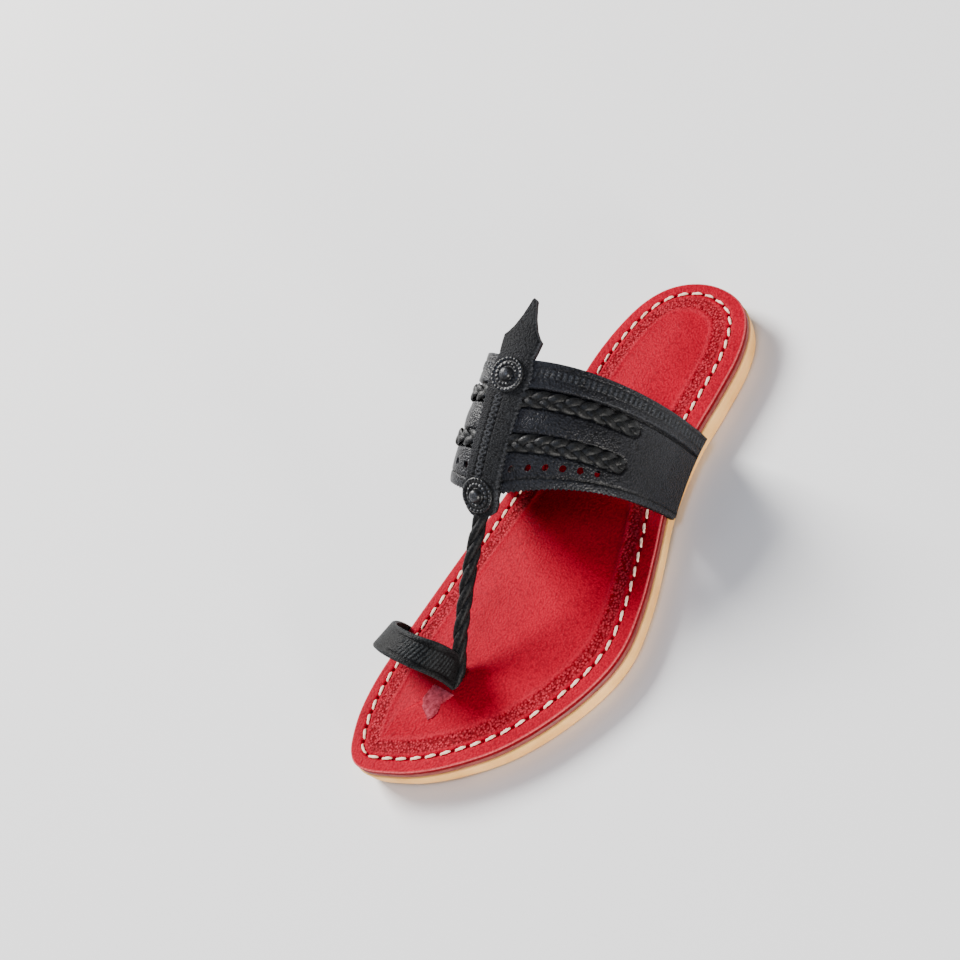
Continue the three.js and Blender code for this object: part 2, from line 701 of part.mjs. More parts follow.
// Toe tab: a thin worn flap that lies on the insole in front of the toe post.
function toeTab() {
  const corners = TAB.map((row) => new THREE.Vector2(row.across * TAB_WIDTH, -row.along * TAB_LENGTH));
  const shape = new THREE.Shape(corners);
  const flap = new THREE.ExtrudeGeometry(shape, { depth: TAB_WALL, bevelEnabled: false });
  const root = postFoot.y - CORD_RADIUS * 1.8;
  const lift = insoleTop(root - TAB_LENGTH) - insoleTop(root);
  flap.rotateX(-Math.atan2(lift, TAB_LENGTH));
  flap.translate(postFoot.x, root, insoleTop(root) + PAD_RISE + SEAT_GAP / 2);
  return flap;
}

// Put together

function upper() {
  const straps = [
    bandWall(), bandTail(1, 0), bandTail(-1, 0), centreStrap(), toePost(), ringWall(), ringTail(0),
    ...BRAIDS.flatMap((row) => [braid(row, 1), braid(row, -1)]),
  ].map(solidOf);
  let body = straps.reduce((whole, strap) => whole.add(strap));
  for (const side of [1, -1]) {
    for (let i = 0; i < HOLES_PER_SIDE; i++) {
      const fromCrown = side * (CENTRE_WIDTH / 2 + HOLE_PITCH * (i + 0.4));
      body = body.subtract(solidOf(punch(fromCrown, HOLE_ROW)));
    }
  }
  return geometryFrom(body);
}

function cutAway(geometry, cutters) {
  return geometryFrom(cutters.reduce((rest, cutter) => rest.subtract(solidOf(cutter)), solidOf(geometry)));
}

const bandFoot = (side) => (share) => (side > 0 ? bandRow(share).outer.foot : bandRow(share).inner.foot);
const notches = [
  footNotch(bandFoot(1), 1, STRAP_WALL, 3, 1),
  footNotch(bandFoot(-1), -1, STRAP_WALL, 3, 1),
  footNotch(ringFoot, -1, RING_WALL, 2, 1),
];
const pockets = [bandTail(1, SEAT_GAP), bandTail(-1, SEAT_GAP), ringTail(SEAT_GAP)];

const finishes = {
  crepe: new THREE.MeshStandardMaterial({ color: 0xd0b48c, roughness: 0.85, metalness: 0 }),
  midsole: new THREE.MeshStandardMaterial({ color: 0x7a2420, roughness: 0.7, metalness: 0 }),
  insole: new THREE.MeshStandardMaterial({ color: 0xc01d28, roughness: 0.55, metalness: 0 }),
  strap: new THREE.MeshStandardMaterial({ color: 0x1d1e20, roughness: 0.5, metalness: 0 }),
  tab: new THREE.MeshStandardMaterial({ color: 0xc2505a, roughness: 0.8, metalness: 0 }),
};

function node(name, geometry, finish) {
  const mesh = new THREE.Mesh(geometry, finish);
  mesh.name = name;
  return mesh;
}

const group = new THREE.Group();
group.add(
  node('outsole', cutAway(outsole(), pockets), finishes.crepe),
  node('midsole', cutAway(midsole(), notches), finishes.midsole),
  node('insole', cutAway(insole(), [...notches, postHole()]), finishes.insole),
  node('upper', upper(), finishes.strap),
  node('rear_boss', boss(0.87), finishes.strap),
  node('front_boss', boss(0.02), finishes.strap),
  node('toe_tab', toeTab(), finishes.tab),
);

const extent = new THREE.Box3().setFromObject(group);
group.position.set(-(extent.min.x + extent.max.x) / 2, -(extent.min.y + extent.max.y) / 2, -extent.min.z);

export default group;
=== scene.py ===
import bpy
import numpy as np
from mathutils import Matrix, Vector


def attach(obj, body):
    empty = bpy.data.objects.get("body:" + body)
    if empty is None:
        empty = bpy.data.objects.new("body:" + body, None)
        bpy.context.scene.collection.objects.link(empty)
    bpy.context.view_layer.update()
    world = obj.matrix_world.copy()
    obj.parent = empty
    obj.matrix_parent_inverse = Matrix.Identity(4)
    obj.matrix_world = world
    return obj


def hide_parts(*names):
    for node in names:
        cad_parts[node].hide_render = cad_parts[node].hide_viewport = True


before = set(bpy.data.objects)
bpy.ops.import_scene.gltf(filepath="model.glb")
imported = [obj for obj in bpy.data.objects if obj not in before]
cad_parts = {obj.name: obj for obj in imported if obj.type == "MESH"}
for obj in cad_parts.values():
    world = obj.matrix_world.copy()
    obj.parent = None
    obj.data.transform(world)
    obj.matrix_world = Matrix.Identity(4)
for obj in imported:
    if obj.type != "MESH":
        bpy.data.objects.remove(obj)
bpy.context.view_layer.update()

# Camera, floor and light
# The floor is a pale grey paper sweep. A wide soft panel on the left lights the sandal, two small
# ones overhead give the black leather its sheen, a low one near the toe lights the pale sole side
# and pale walls fill the shadows.
EYE = Vector((0.32924, -0.13794, 0.43078))
RIGHT = Vector((0.69509, 0.55189, -0.46072))
UP = Vector((-0.28039, 0.79821, 0.53313))


def linear(code):
    """Linear colour of an sRGB hex value: each share c becomes ((c + 0.055) / 1.055) ** 2.4."""
    shares = np.array([int(code[i:i + 2], 16) for i in (1, 3, 5)]) / 255
    low = shares <= 0.04045
    return (*np.where(low, shares / 12.92, ((shares + 0.055) / 1.055) ** 2.4), 1.0)


def add(tree, kind, settings=None, links=None, **facts):
    """A node with its own facts, its sockets' values and the outputs that feed its sockets."""
    node = tree.nodes.new(kind)
    for name, value in facts.items():
        setattr(node, name, value)
    for name, value in (settings or {}).items():
        node.inputs[name].default_value = value
    for name, source in (links or {}).items():
        tree.links.new(source, node.inputs[name])
    return node


def new_finish(name):
    """An empty node material with its Principled shader, joined to the output."""
    finish = bpy.data.materials.new(name)
    finish.use_nodes = True
    tree = finish.node_tree
    tree.nodes.clear()
    shader = add(tree, "ShaderNodeBsdfPrincipled")
    add(tree, "ShaderNodeOutputMaterial", links={"Surface": shader.outputs["BSDF"]})
    return finish, tree, shader


camera_data = bpy.data.cameras.new("camera")
camera_data.lens = 50
camera_data.sensor_width = 36
camera_data.clip_start = 0.01
camera = bpy.data.objects.new("camera", camera_data)
turned = Matrix((RIGHT, UP, RIGHT.cross(UP))).transposed().to_4x4()
camera.matrix_world = Matrix.Translation(EYE) @ turned
bpy.context.scene.collection.objects.link(camera)
bpy.context.scene.camera = camera

# Matt seamless paper: one even pale grey.
paper, tree, shader = new_finish("matt_studio_paper")
shader.inputs["Base Color"].default_value = linear("#E3E3E2")
shader.inputs["Roughness"].default_value = 0.95
shader.inputs["Specular IOR Level"].default_value = 0.1
PAPER_REACH = 5
floor_mesh = bpy.data.meshes.new("floor")
corners = [(x * PAPER_REACH, y * PAPER_REACH, 0) for x, y in ((-1, -1), (1, -1), (1, 1), (-1, 1))]
floor_mesh.from_pydata(corners, [], [(0, 1, 2, 3)])
floor_mesh.materials.append(paper)
floor = bpy.data.objects.new("floor", floor_mesh)
bpy.context.scene.collection.objects.link(floor)

# Name, place and width in metres, power in watts and tint; each panel faces the sandal.
for name, place, size, power, tint in (
    ("left_panel", (-3.9, 0.55, 2.9), 1.9, 790, (1.0, 0.985, 0.965)),
    ("sheen_panel", (-0.8, -0.3, 1.2), 0.5, 3, (1.0, 0.93, 1.0)),
    ("overhead_panel", (0.2, -0.3, 1.3), 0.4, 6.5, (0.6, 0.72, 1.0)),
    ("low_panel", (2.2, -0.9, 0.22), 0.35, 98, (1.0, 0.96, 0.9)),
):
    lamp = bpy.data.lights.new(name, "AREA")
    lamp.shape = "SQUARE"
    lamp.size = size
    lamp.energy = power
    lamp.color = tint
    panel = bpy.data.objects.new(name, lamp)
    facing = (-Vector(place)).to_track_quat("-Z", "Y").to_matrix().to_4x4()
    panel.matrix_world = Matrix.Translation(place) @ facing
    bpy.context.scene.collection.objects.link(panel)

room = bpy.data.worlds.new("pale_room")
room.use_nodes = True
walls = room.node_tree.nodes["Background"]
walls.inputs["Color"].default_value = linear("#F8F1E8")
walls.inputs["Strength"].default_value = 0.28
bpy.context.scene.world = room

# Outsole
# A unit of pale crepe rubber, thicker under the heel and lifted a little at the toe. It is cut to
# the outline after the layers are glued, so its side is smooth, with a soft lower edge.
SOLE_LENGTH = 255.5
BALL_WIDTH = 96.0
CENTRED = 1.8948
OUTSOLE_BALL, OUTSOLE_HEEL = 7.4, 9.4
# The toe lifts by the spring, from the break on; the waist is clear of the floor, and the wall
# grows over the wedge. All but the two rises are shares of the length from toe to heel.
TOE_SPRING, TOE_BREAK = 2.6, 0.24
WAIST_RISE, WAIST = 1.0, (0.46, 0.57, 0.68)
WEDGE = (0.45, 0.78)
SEAT_GAP = 0.3
MIDSOLE_WALL = 1.9
INSOLE_WALL = 2.5

# Stations from toe to heel: share of the length, then the inner and outer edge as shares of the
# ball width to either side of the middle line.
STATIONS = np.array([
    (0, -0.276, -0.276), (0.012, -0.357, -0.158), (0.035, -0.404, -0.034), (0.08, -0.459, 0.124),
    (0.14, -0.491, 0.276), (0.22, -0.498, 0.404), (0.3, -0.495, 0.484), (0.36, -0.491, 0.499),
    (0.43, -0.485, 0.46), (0.51, -0.476, 0.386), (0.6, -0.465, 0.295), (0.7, -0.466, 0.237),
    (0.8, -0.484, 0.222), (0.88, -0.465, 0.202), (0.94, -0.415, 0.148), (0.98, -0.322, 0.052),
    (1, -0.14, -0.14),
])
station_turn = np.arccos(1 - 2 * STATIONS[:, 0])
rim_turn = np.concatenate([station_turn, 2 * np.pi - station_turn[-2:0:-1]])
rim_across = np.concatenate([STATIONS[:, 2], STATIONS[-2:0:-1, 1]])
rim_turn_round = np.concatenate([rim_turn[-1:] - 2 * np.pi, rim_turn, rim_turn[:2] + 2 * np.pi])
rim_across_round = np.concatenate([rim_across[-1:], rim_across, rim_across[:2]])


def outline(turn):
    """x and y of the sole's edge: y is minus half the length times the cosine of the turn, and x
    a cubic through the stations whose slope at each is that of the line past its neighbours."""
    at = np.mod(turn, 2 * np.pi)
    k = np.searchsorted(rim_turn, at, "right")
    (ta, tb, tc, td), (a, b, c, d) = (
        [values[k + step] for step in (-1, 0, 1, 2)]
        for values in (rim_turn_round, rim_across_round)
    )
    t = (at - tb) / (tc - tb)
    start = (tc - tb) * (c - a) / (tc - ta)
    finish = (tc - tb) * (d - b) / (td - tb)
    across = ((2 * t**3 - 3 * t**2 + 1) * b + (t**3 - 2 * t**2 + t) * start
              + (3 * t**2 - 2 * t**3) * c + (t**3 - t**2) * finish)
    return across * BALL_WIDTH + CENTRED, -SOLE_LENGTH / 2 * np.cos(at)


def inset(turn, depth):
    """The outline moved in by a depth, square to itself."""
    x, y = outline(turn)
    ahead, behind = outline(turn + 0.02), outline(turn - 0.02)
    dx, dy = ahead[0] - behind[0], ahead[1] - behind[1]
    size = np.hypot(dx, dy)
    return x - dy / size * depth, y + dx / size * depth


def smooth(value, low, high):
    """Soft step from 0 at low to 1 at high: 3 t squared minus 2 t cubed."""
    t = np.clip((value - low) / (high - low), 0, 1)
    return t * t * (3 - 2 * t)


def toe_lift(y):
    """Toe spring: the square of the way past the toe break."""
    return TOE_SPRING * np.maximum(0, 1 - (y / SOLE_LENGTH + 0.5) / TOE_BREAK) ** 2


def floor_side(y):
    """Underside: the toe spring, and a slight rise under the waist."""
    s = y / SOLE_LENGTH + 0.5
    start, middle, end = WAIST
    return toe_lift(y) + WAIST_RISE * smooth(s, start, middle) * (1 - smooth(s, middle, end))


def outsole_top(y):
    """Top of the crepe: the toe spring plus a wall that grows softly from ball to heel."""
    wall = OUTSOLE_BALL + (OUTSOLE_HEEL - OUTSOLE_BALL) * smooth(y / SOLE_LENGTH + 0.5, *WEDGE)
    return toe_lift(y) + wall


def midsole_top(y):
    """Top of the red-brown layer: the crepe's top, the glue gap and the layer's wall."""
    return outsole_top(y) + SEAT_GAP + MIDSOLE_WALL


def insole_top(y):
    """Top of the footbed at its stitch line, built up in the same way."""
    return midsole_top(y) + SEAT_GAP + INSOLE_WALL


def even_turns(columns):
    """Turns of a closed ring with the same y on both sides, spaced evenly along the mean edge."""
    fine = np.linspace(0, np.pi, 2001)
    steps = sum(np.hypot(*(np.diff(part) for part in outline(side * fine))) for side in (1, -1))
    length = np.concatenate([[0], np.cumsum(steps)])
    half = np.interp(np.linspace(0, length[-1], columns // 2 + 1), length, fine)
    return np.concatenate([half, 2 * np.pi - half[-2:0:-1]])


def sole_rows(turns, depths, shares, heights, spread=0.0):
    """Rows of a sole layer: the outline set in by the row's depth, then drawn towards the middle
    line by the row's share, at the row's height for each point's y. Corners are rounded by a
    normal curve of the given spread in columns, as a product of the rows' frequencies."""
    x, y = inset(turns[None, :], depths)
    (right_x, spine_y), (left_x, _) = outline(turns), outline(-turns)
    x = x + ((right_x + left_x) / 2 - x) * shares
    y = y + (spine_y * 0.8 - y) * shares
    soften = np.exp(-2 * (np.pi * np.fft.rfftfreq(len(turns)) * spread) ** 2)
    x, y = (np.fft.irfft(np.fft.rfft(part, axis=1) * soften, len(turns), axis=1) for part in (x, y))
    z = np.stack([height(row) for height, row in zip(heights, y)])
    return np.stack([x, y, z], axis=-1)


def layer_faces(rows, columns):
    """Faces of a closed layer whose first and last rows lie doubled on the middle line."""
    index = np.arange(rows * columns).reshape(rows, columns)
    mirror = np.minimum(np.arange(columns), columns - np.arange(columns))
    index[0], index[-1] = index[0, mirror], index[-1, mirror]
    right = np.roll(index, -1, axis=1)
    return np.stack([index[:-1], right[:-1], right[1:], index[1:]], axis=-1).reshape(-1, 4)


def put(name, points, faces, finish, marks=None):
    """A smooth mesh in metres from points in millimetres. Points that no face uses are left out,
    and faces that enclose a negative volume are turned round."""
    points = points.reshape(-1, 3)
    used, faces = np.unique(faces, return_inverse=True)
    faces = faces.reshape(-1, 4)
    corners = points[used][faces]
    fan = np.einsum("ij,ij->i", corners[:, 0], np.cross(corners[:, 1], corners[:, 2]))
    fan += np.einsum("ij,ij->i", corners[:, 0], np.cross(corners[:, 2], corners[:, 3]))
    if fan.sum() < 0:
        faces = faces[:, ::-1]
    mesh = bpy.data.meshes.new(name)
    mesh.vertices.add(len(used))
    mesh.vertices.foreach_set("co", (points[used] / 1000).ravel())
    mesh.loops.add(faces.size)
    mesh.loops.foreach_set("vertex_index", faces.ravel())
    mesh.polygons.add(len(faces))
    mesh.polygons.foreach_set("loop_start", np.arange(0, faces.size, 4))
    for mark, values in (marks or {}).items():
        layer = mesh.attributes.new(mark, "FLOAT", "POINT")
        layer.data.foreach_set("value", values.ravel()[used])
    mesh.update(calc_edges=True)
    mesh.validate()
    mesh.shade_smooth()
    mesh.materials.append(finish)
    piece = bpy.data.objects.new(name, mesh)
    bpy.context.scene.collection.objects.link(piece)
    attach(piece, "root")
    return piece


def set_stops(tone, *stops):
    """The places and sRGB shades of a colour ramp's stops."""
    for stop, (place, shade) in zip(tone.color_ramp.elements, stops):
        stop.position, stop.color = place, linear(shade)


# Crepe rubber, calendered in sheets and buffed at the side: matt, with pores of about a
# millimetre, a cloudy tan and faint sheet lines along the edge.
crepe, tree, shader = new_finish("buffed_crepe_rubber")
place = add(tree, "ShaderNodeTexCoord").outputs["Object"]
cloud = add(tree, "ShaderNodeTexNoise", {"Scale": 45, "Detail": 5, "Roughness": 0.6},
            {"Vector": place})
tone = add(tree, "ShaderNodeValToRGB", links={"Fac": cloud.outputs["Fac"]})
set_stops(tone, (0.32, "#CE9650"), (0.66, "#E8B472"))
sheets = add(tree, "ShaderNodeMapping", links={"Vector": place})
sheets.inputs["Scale"].default_value = (30, 30, 1400)
lines = add(tree, "ShaderNodeTexNoise", {"Scale": 1, "Detail": 3},
            {"Vector": sheets.outputs["Vector"]})
streak = add(tree, "ShaderNodeMix", {"Factor": 0.22}, data_type="RGBA", blend_type="OVERLAY")
tree.links.new(tone.outputs["Color"], streak.inputs["A"])
tree.links.new(lines.outputs["Color"], streak.inputs["B"])
tree.links.new(streak.outputs["Result"], shader.inputs["Base Color"])
pores = add(tree, "ShaderNodeTexNoise", {"Scale": 900, "Detail": 4, "Roughness": 0.65},
            {"Vector": place})
ground = add(tree, "ShaderNodeBump", {"Strength": 0.35, "Distance": 0.0003},
             {"Height": pores.outputs["Fac"]})
tree.links.new(ground.outputs["Normal"], shader.inputs["Normal"])
shader.inputs["Roughness"].default_value = 0.78
shader.inputs["IOR"].default_value = 1.52
shader.inputs["Specular IOR Level"].default_value = 0.2

# Rows from the underside's middle line, round the side, to the top's middle line: depth past the
# outline, share towards the middle line, base height and rise above it.
SOLE_COLUMNS = 720
turns = even_turns(SOLE_COLUMNS)
OUTSOLE_ROWS = [
    (6, 1, floor_side, 0), (6, 0.5, floor_side, 0), (2.4, 0, floor_side, 0),
    (1.2, 0, floor_side, 0.12), (0.5, 0, floor_side, 0.5), (0.15, 0, floor_side, 1.1),
    (0, 0, floor_side, 2.2), (-0.15, 0, floor_side, 3.4), (-0.35, 0, outsole_top, -2.2),
    (-0.5, 0, outsole_top, -1.2), (-0.5, 0, outsole_top, -0.55), (-0.42, 0, outsole_top, -0.2),
    (-0.2, 0, outsole_top, 0), (0.8, 0, outsole_top, 0), (8, 0.6, outsole_top, 0),
    (8, 1, outsole_top, 0),
]


def stack(table, turns, spread=0.0):
    """A layer's points from its table of depth, share, base height and rise. A depth is one
    number or one for each turn."""
    depths = np.stack([np.broadcast_to(depth, turns.shape) for depth, *_ in table])
    shares = np.array([share for _, share, *_ in table])[:, None]
    heights = [lambda y, base=base, rise=rise: base(y) + rise for *_, base, rise in table]
    return sole_rows(turns, depths, shares, heights, spread)


points = stack(OUTSOLE_ROWS, turns)
faces = layer_faces(*points.shape[:2])
outsole = put("crepe_outsole", points, faces, crepe)
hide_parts("outsole")

# Midsole
# A layer of dark red-brown buffalo leather between the crepe and the footbed, glued and pressed.
# Its cut edge is burnished and stands back a little from both neighbours.
MIDSOLE_ROWS = [
    (8, 1, outsole_top, 0.02), (8, 0.5, outsole_top, 0.02), (0.7, 0, outsole_top, 0.02),
    (0.25, 0, outsole_top, 0.3), (0.08, 0, outsole_top, 0.8), (0.1, 0, outsole_top, 1.5),
    (0.3, 0, midsole_top, -0.1), (0.5, 0, midsole_top, 0.28), (8, 0.5, midsole_top, 0.28),
    (8, 1, midsole_top, 0.28),
]
# Vegetable-tanned buffalo, cut across its fibres and burnished: fibres run along the edge, dark
# where they are packed and redder between.
burnished, tree, shader = new_finish("burnished_leather_edge")
place = add(tree, "ShaderNodeTexCoord").outputs["Object"]
fibres = add(tree, "ShaderNodeMapping", links={"Vector": place})
fibres.inputs["Scale"].default_value = (260, 260, 2400)
fleck = add(tree, "ShaderNodeTexNoise", {"Scale": 1, "Detail": 4, "Roughness": 0.6},
            {"Vector": fibres.outputs["Vector"]})
tone = add(tree, "ShaderNodeValToRGB", links={"Fac": fleck.outputs["Fac"]})
set_stops(tone, (0.3, "#4E1211"), (0.72, "#8A3A33"))
tree.links.new(tone.outputs["Color"], shader.inputs["Base Color"])
ground = add(tree, "ShaderNodeBump", {"Strength": 0.5, "Distance": 0.0002},
             {"Height": fleck.outputs["Fac"]})
tree.links.new(ground.outputs["Normal"], shader.inputs["Normal"])
shader.inputs["Roughness"].default_value = 0.55

points = stack(MIDSOLE_ROWS, turns)
faces = layer_faces(*points.shape[:2])
midsole = put("leather_midsole", points, faces, burnished)
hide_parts("midsole")

# Footbed
# Bright red cowhide, cut to the outline, with a groove for the edge stitches, a stippled border
# pressed inside it with a hot roller, and a thin pad that fills out the middle.
# Depth and half width of the groove and of a stitch's holes. The border starts and ends at these
# distances in from the stitch line, is pressed in by the sink, has beads on it and a soft ridge
# along its end, and the pad starts a little farther in.
GROOVE_DEPTH, GROOVE_HALF = 0.5, 0.9
STITCH_HOLE_DEPTH, STITCH_HOLE_HALF = 0.55, 0.55
BORDER_START, BORDER_REACH, BORDER_SINK = 1.3, 8.0, 0.16
BEAD_RISE, LIP_RISE = 0.07, 0.03
RIDGE_RISE, RIDGE_HALF = 0.2, 0.85
PAD_START, PAD_RISE = 1.4, 0.9
STITCH_PITCH = 6.52
STITCH_MEAN_DEPTH = 6.5
FOOTBED_COLUMNS = 1560
# How far the stitch line stands in from the edge, by the turn round the sole.
STITCH_LINE = np.array([
    (0, 6.0), (1.0, 6.4), (1.5, 6.8), (2.1, 7.6), (2.6, 7.4), (3.14, 5.6), (3.7, 6.6), (4.3, 6.6),
    (5.2, 5.6), (6.283, 6.0),
])


def stitch_line(turn):
    """Depth of the stitch line: straight steps between the table's rows."""
    return np.interp(np.mod(turn, 2 * np.pi), STITCH_LINE[:, 0], STITCH_LINE[:, 1])


def ring_length(turns, depth):
    """Distance run along the outline at a depth, from the toe to each turn, and once round."""
    x, y = inset(np.append(turns, turns[0] + 2 * np.pi), depth)
    run = np.concatenate([[0], np.cumsum(np.hypot(np.diff(x), np.diff(y)))])
    return run[:-1], run[-1]


turns = even_turns(FOOTBED_COLUMNS)
run, once_round = ring_length(turns, STITCH_MEAN_DEPTH)
stitches = round(once_round / STITCH_PITCH)
pitch = once_round / stitches

# Rows of the underside and the wall as for the outsole, then rows over the groove and the border
# by their distance in from the stitch line, and rows over the pad by their share towards the
# middle line.
wall_rows = [
    (8, 1, midsole_top, 0.3), (8, 0.5, midsole_top, 0.3), (0.7, 0, midsole_top, 0.3),
    (0.2, 0, midsole_top, 0.5), (0, 0, midsole_top, 0.95), (0, 0, insole_top, -1.0),
    (0.05, 0, insole_top, -0.55), (0.22, 0, insole_top, -0.24), (0.5, 0, insole_top, -0.07),
    (0.95, 0, insole_top, 0), (1.9, 0, insole_top, 0), (2.9, 0, insole_top, 0),
]
across = np.concatenate([
    [-2.2, -1.6, -1.25, -0.95, -0.65, -0.35, 0, 0.35, 0.65, 0.95, 1.25, 1.6, 2.0],
    np.linspace(2.4, BORDER_REACH + PAD_START, 19),
])
pad_share = np.array([0.06, 0.14, 0.24, 0.36, 0.5, 0.64, 0.78, 0.9, 1.0])
seam = stitch_line(turns)
pad_edge = seam + BORDER_REACH + PAD_START
table = (wall_rows + [(seam + distance, 0, insole_top, 0) for distance in across]
         + [(pad_edge, share, insole_top, 0) for share in pad_share])
# Each row's distance from the stitch line, with plain marks for the wall's rows and the pad's.
# The farther in a row lies, the more its corners are rounded.
WALL, PAD = -9.0, 12.0
line = np.array([WALL] * len(wall_rows) + list(across) + [PAD] * len(pad_share))[:, None]
on_top = line > WALL
points = stack(table, turns, 20 * np.clip((line - 2) / 7, 0, 1))

around = run[None, :]
from_gap = np.abs(np.mod(around + pitch / 2, pitch) - pitch / 2)
seam_dip = np.exp(-(line / GROOVE_HALF) ** 2)
stitch_hole = np.exp(-(line / STITCH_HOLE_HALF) ** 2) * np.exp(-(from_gap / 0.65) ** 4)
in_band = (smooth(line, BORDER_START, BORDER_START + 1.7)
           * (1 - smooth(line, BORDER_REACH - 1.4, BORDER_REACH + 0.6)))
# Stipple: beads about 1.2 mm apart in slanting rows, shifted here and there by the worn roller.
drift = 0.7 * np.sin(around * 0.19) + 0.5 * np.sin(around * 0.53 + line * 1.3)
rows_of_beads = np.sin(line / 1.05 * np.pi + 0.6 * np.sin(around * 0.37))
beads = (rows_of_beads * np.sin(around / 1.2 * np.pi + drift)
         + 0.35 * np.sin(around / 0.83 * np.pi + line * 2.9))
lip = np.exp(-((line - 1.9) / 0.45) ** 2)
ridge = np.exp(-((line - BORDER_REACH) / RIDGE_HALF) ** 2)
# The pad swells from the border to the middle line, as a quarter wave of the way between them.
border_end = points[len(wall_rows) + len(across) - 1, :, :2]
from_border = np.linalg.norm(points[..., :2] - border_end, axis=-1) * (line > BORDER_REACH + 1)
puff = np.sin(np.pi / 2 * np.clip(from_border / from_border[-1], 0, 1))
relief = (-GROOVE_DEPTH * seam_dip - STITCH_HOLE_DEPTH * stitch_hole + LIP_RISE * lip
          + in_band * (BEAD_RISE * beads - BORDER_SINK) + RIDGE_RISE * ridge + PAD_RISE * puff)
points[..., 2] += np.where(on_top, relief, 0)
# The wall's rows: dark where the edge is cut, with a painted highlight along its upper corner.
cut_edge, corner_highlight = np.zeros((2, len(table), 1))
cut_edge[:7, 0] = (1, 1, 1, 1, 1, 1, 0.85)
corner_highlight[7:9, 0] = (1, 0.5)
everywhere = np.ones_like(around)
# Painted shade in the stitch holes, and painted highlight on the groove's lip, on the border's
# ridge and along the wall's upper corner; the cut edge's dark is its dye.
marks = {
    "stitch_hole_shade": stitch_hole * on_top,
    "band": in_band * everywhere,
    "ridge_highlight": (0.3 * ridge + 0.15 * lip) * everywhere,
    "edge": cut_edge * everywhere,
    "bright": corner_highlight * everywhere,
}


def shaded(tree, colour, marks):
    """A colour with the shade of each mark laid over it, by the mark's value times a strength."""
    for mark, shade, strength in marks:
        source = add(tree, "ShaderNodeAttribute", attribute_name=mark)
        amount = add(tree, "ShaderNodeMath", {1: strength}, {0: source.outputs["Fac"]},
                     operation="MULTIPLY", use_clamp=True)
        blend = add(tree, "ShaderNodeMix", data_type="RGBA")
        tree.links.new(amount.outputs["Value"], blend.inputs["Factor"])
        tree.links.new(colour, blend.inputs["A"])
        blend.inputs["B"].default_value = linear(shade)
        colour = blend.outputs["Result"]
    return colour


def grained(tree, colour, cells, middle, crease):
    """A colour times a factor that runs from the middle of each grain cell to its crease: lighter
    middles and darker creases, partly the grain's own colour and partly painted highlight and
    painted shade.
    """
    factor = add(tree, "ShaderNodeMapRange", {"From Max": 0.7, "To Min": middle, "To Max": crease},
                 {"Value": cells.outputs["Distance"]})
    product = add(tree, "ShaderNodeMix", {"Factor": 1.0}, data_type="RGBA", blend_type="MULTIPLY")
    tree.links.new(colour, product.inputs["A"])
    tree.links.new(factor.outputs["Result"], product.inputs["B"])
    return product.outputs["Result"]


# Full-grain cowhide, dyed and plated to a soft gloss: a fine grain of cells about 0.8 mm across.
# The stipple has a pinkish painted highlight on its beads and painted shade between them. The
# groove's lip, the border's ridge and the wall's upper corner have a painted highlight, and the
# stitch holes have painted shade.
red_hide, tree, shader = new_finish("plated_red_cowhide")
place = add(tree, "ShaderNodeTexCoord").outputs["Object"]
mottle = add(tree, "ShaderNodeTexNoise", {"Scale": 22, "Detail": 6, "Roughness": 0.62},
             {"Vector": place})
tone = add(tree, "ShaderNodeValToRGB", links={"Fac": mottle.outputs["Fac"]})
set_stops(tone, (0.3, "#8C001A"), (0.7, "#A60022"))
# Painted highlight on the ridge, the lip and the upper corner, and painted shade in the stitch
# holes; the cut edge is dyed darker.
colour = shaded(tree, tone.outputs["Color"], (
    ("ridge_highlight", "#C23A48", 0.35), ("edge", "#560A10", 0.85), ("bright", "#DC6C6C", 0.75),
    ("stitch_hole_shade", "#3A0408", 0.7),
))
# The stipple's beads, about 1 mm apart: a pinkish painted highlight where they stand up and dark
# red painted shade between them.
stipple = add(tree, "ShaderNodeTexVoronoi", {"Scale": 1000}, {"Vector": place})
bead_tone = add(tree, "ShaderNodeValToRGB", links={"Fac": stipple.outputs["Distance"]})
set_stops(bead_tone, (0.2, "#B02A38"), (0.62, "#6E000E"))
in_border = add(tree, "ShaderNodeAttribute", attribute_name="band")
bordered = add(tree, "ShaderNodeMix", data_type="RGBA")
tree.links.new(in_border.outputs["Fac"], bordered.inputs["Factor"])
tree.links.new(colour, bordered.inputs["A"])
tree.links.new(bead_tone.outputs["Color"], bordered.inputs["B"])
grain = add(tree, "ShaderNodeTexVoronoi", {"Scale": 1250}, {"Vector": place}, feature="SMOOTH_F1")
# Grain: lighter cell middles and darker creases, partly the hide's own grain colour and partly
# painted highlight and painted shade.
colour = grained(tree, bordered.outputs["Result"], grain, 1.28, 0.68)
tree.links.new(colour, shader.inputs["Base Color"])
wrinkle = add(tree, "ShaderNodeTexNoise", {"Scale": 600, "Detail": 5, "Roughness": 0.7},
              {"Vector": place})
raised = add(tree, "ShaderNodeMath", {1: 0.7}, {0: in_border.outputs["Fac"]}, operation="MULTIPLY")
beaded = add(tree, "ShaderNodeBump", {"Distance": 0.0004},
             {"Strength": raised.outputs["Value"], "Height": stipple.outputs["Distance"]},
             invert=True)
fine = add(tree, "ShaderNodeBump", {"Strength": 0.8, "Distance": 0.00024},
           {"Height": grain.outputs["Distance"], "Normal": beaded.outputs["Normal"]})
hide = add(tree, "ShaderNodeBump", {"Strength": 0.22, "Distance": 0.0003},
           {"Height": wrinkle.outputs["Fac"], "Normal": fine.outputs["Normal"]})
tree.links.new(hide.outputs["Normal"], shader.inputs["Normal"])
shine = add(tree, "ShaderNodeMapRange", {"To Min": 0.42, "To Max": 0.6},
            {"Value": wrinkle.outputs["Fac"]})
tree.links.new(shine.outputs["Result"], shader.inputs["Roughness"])
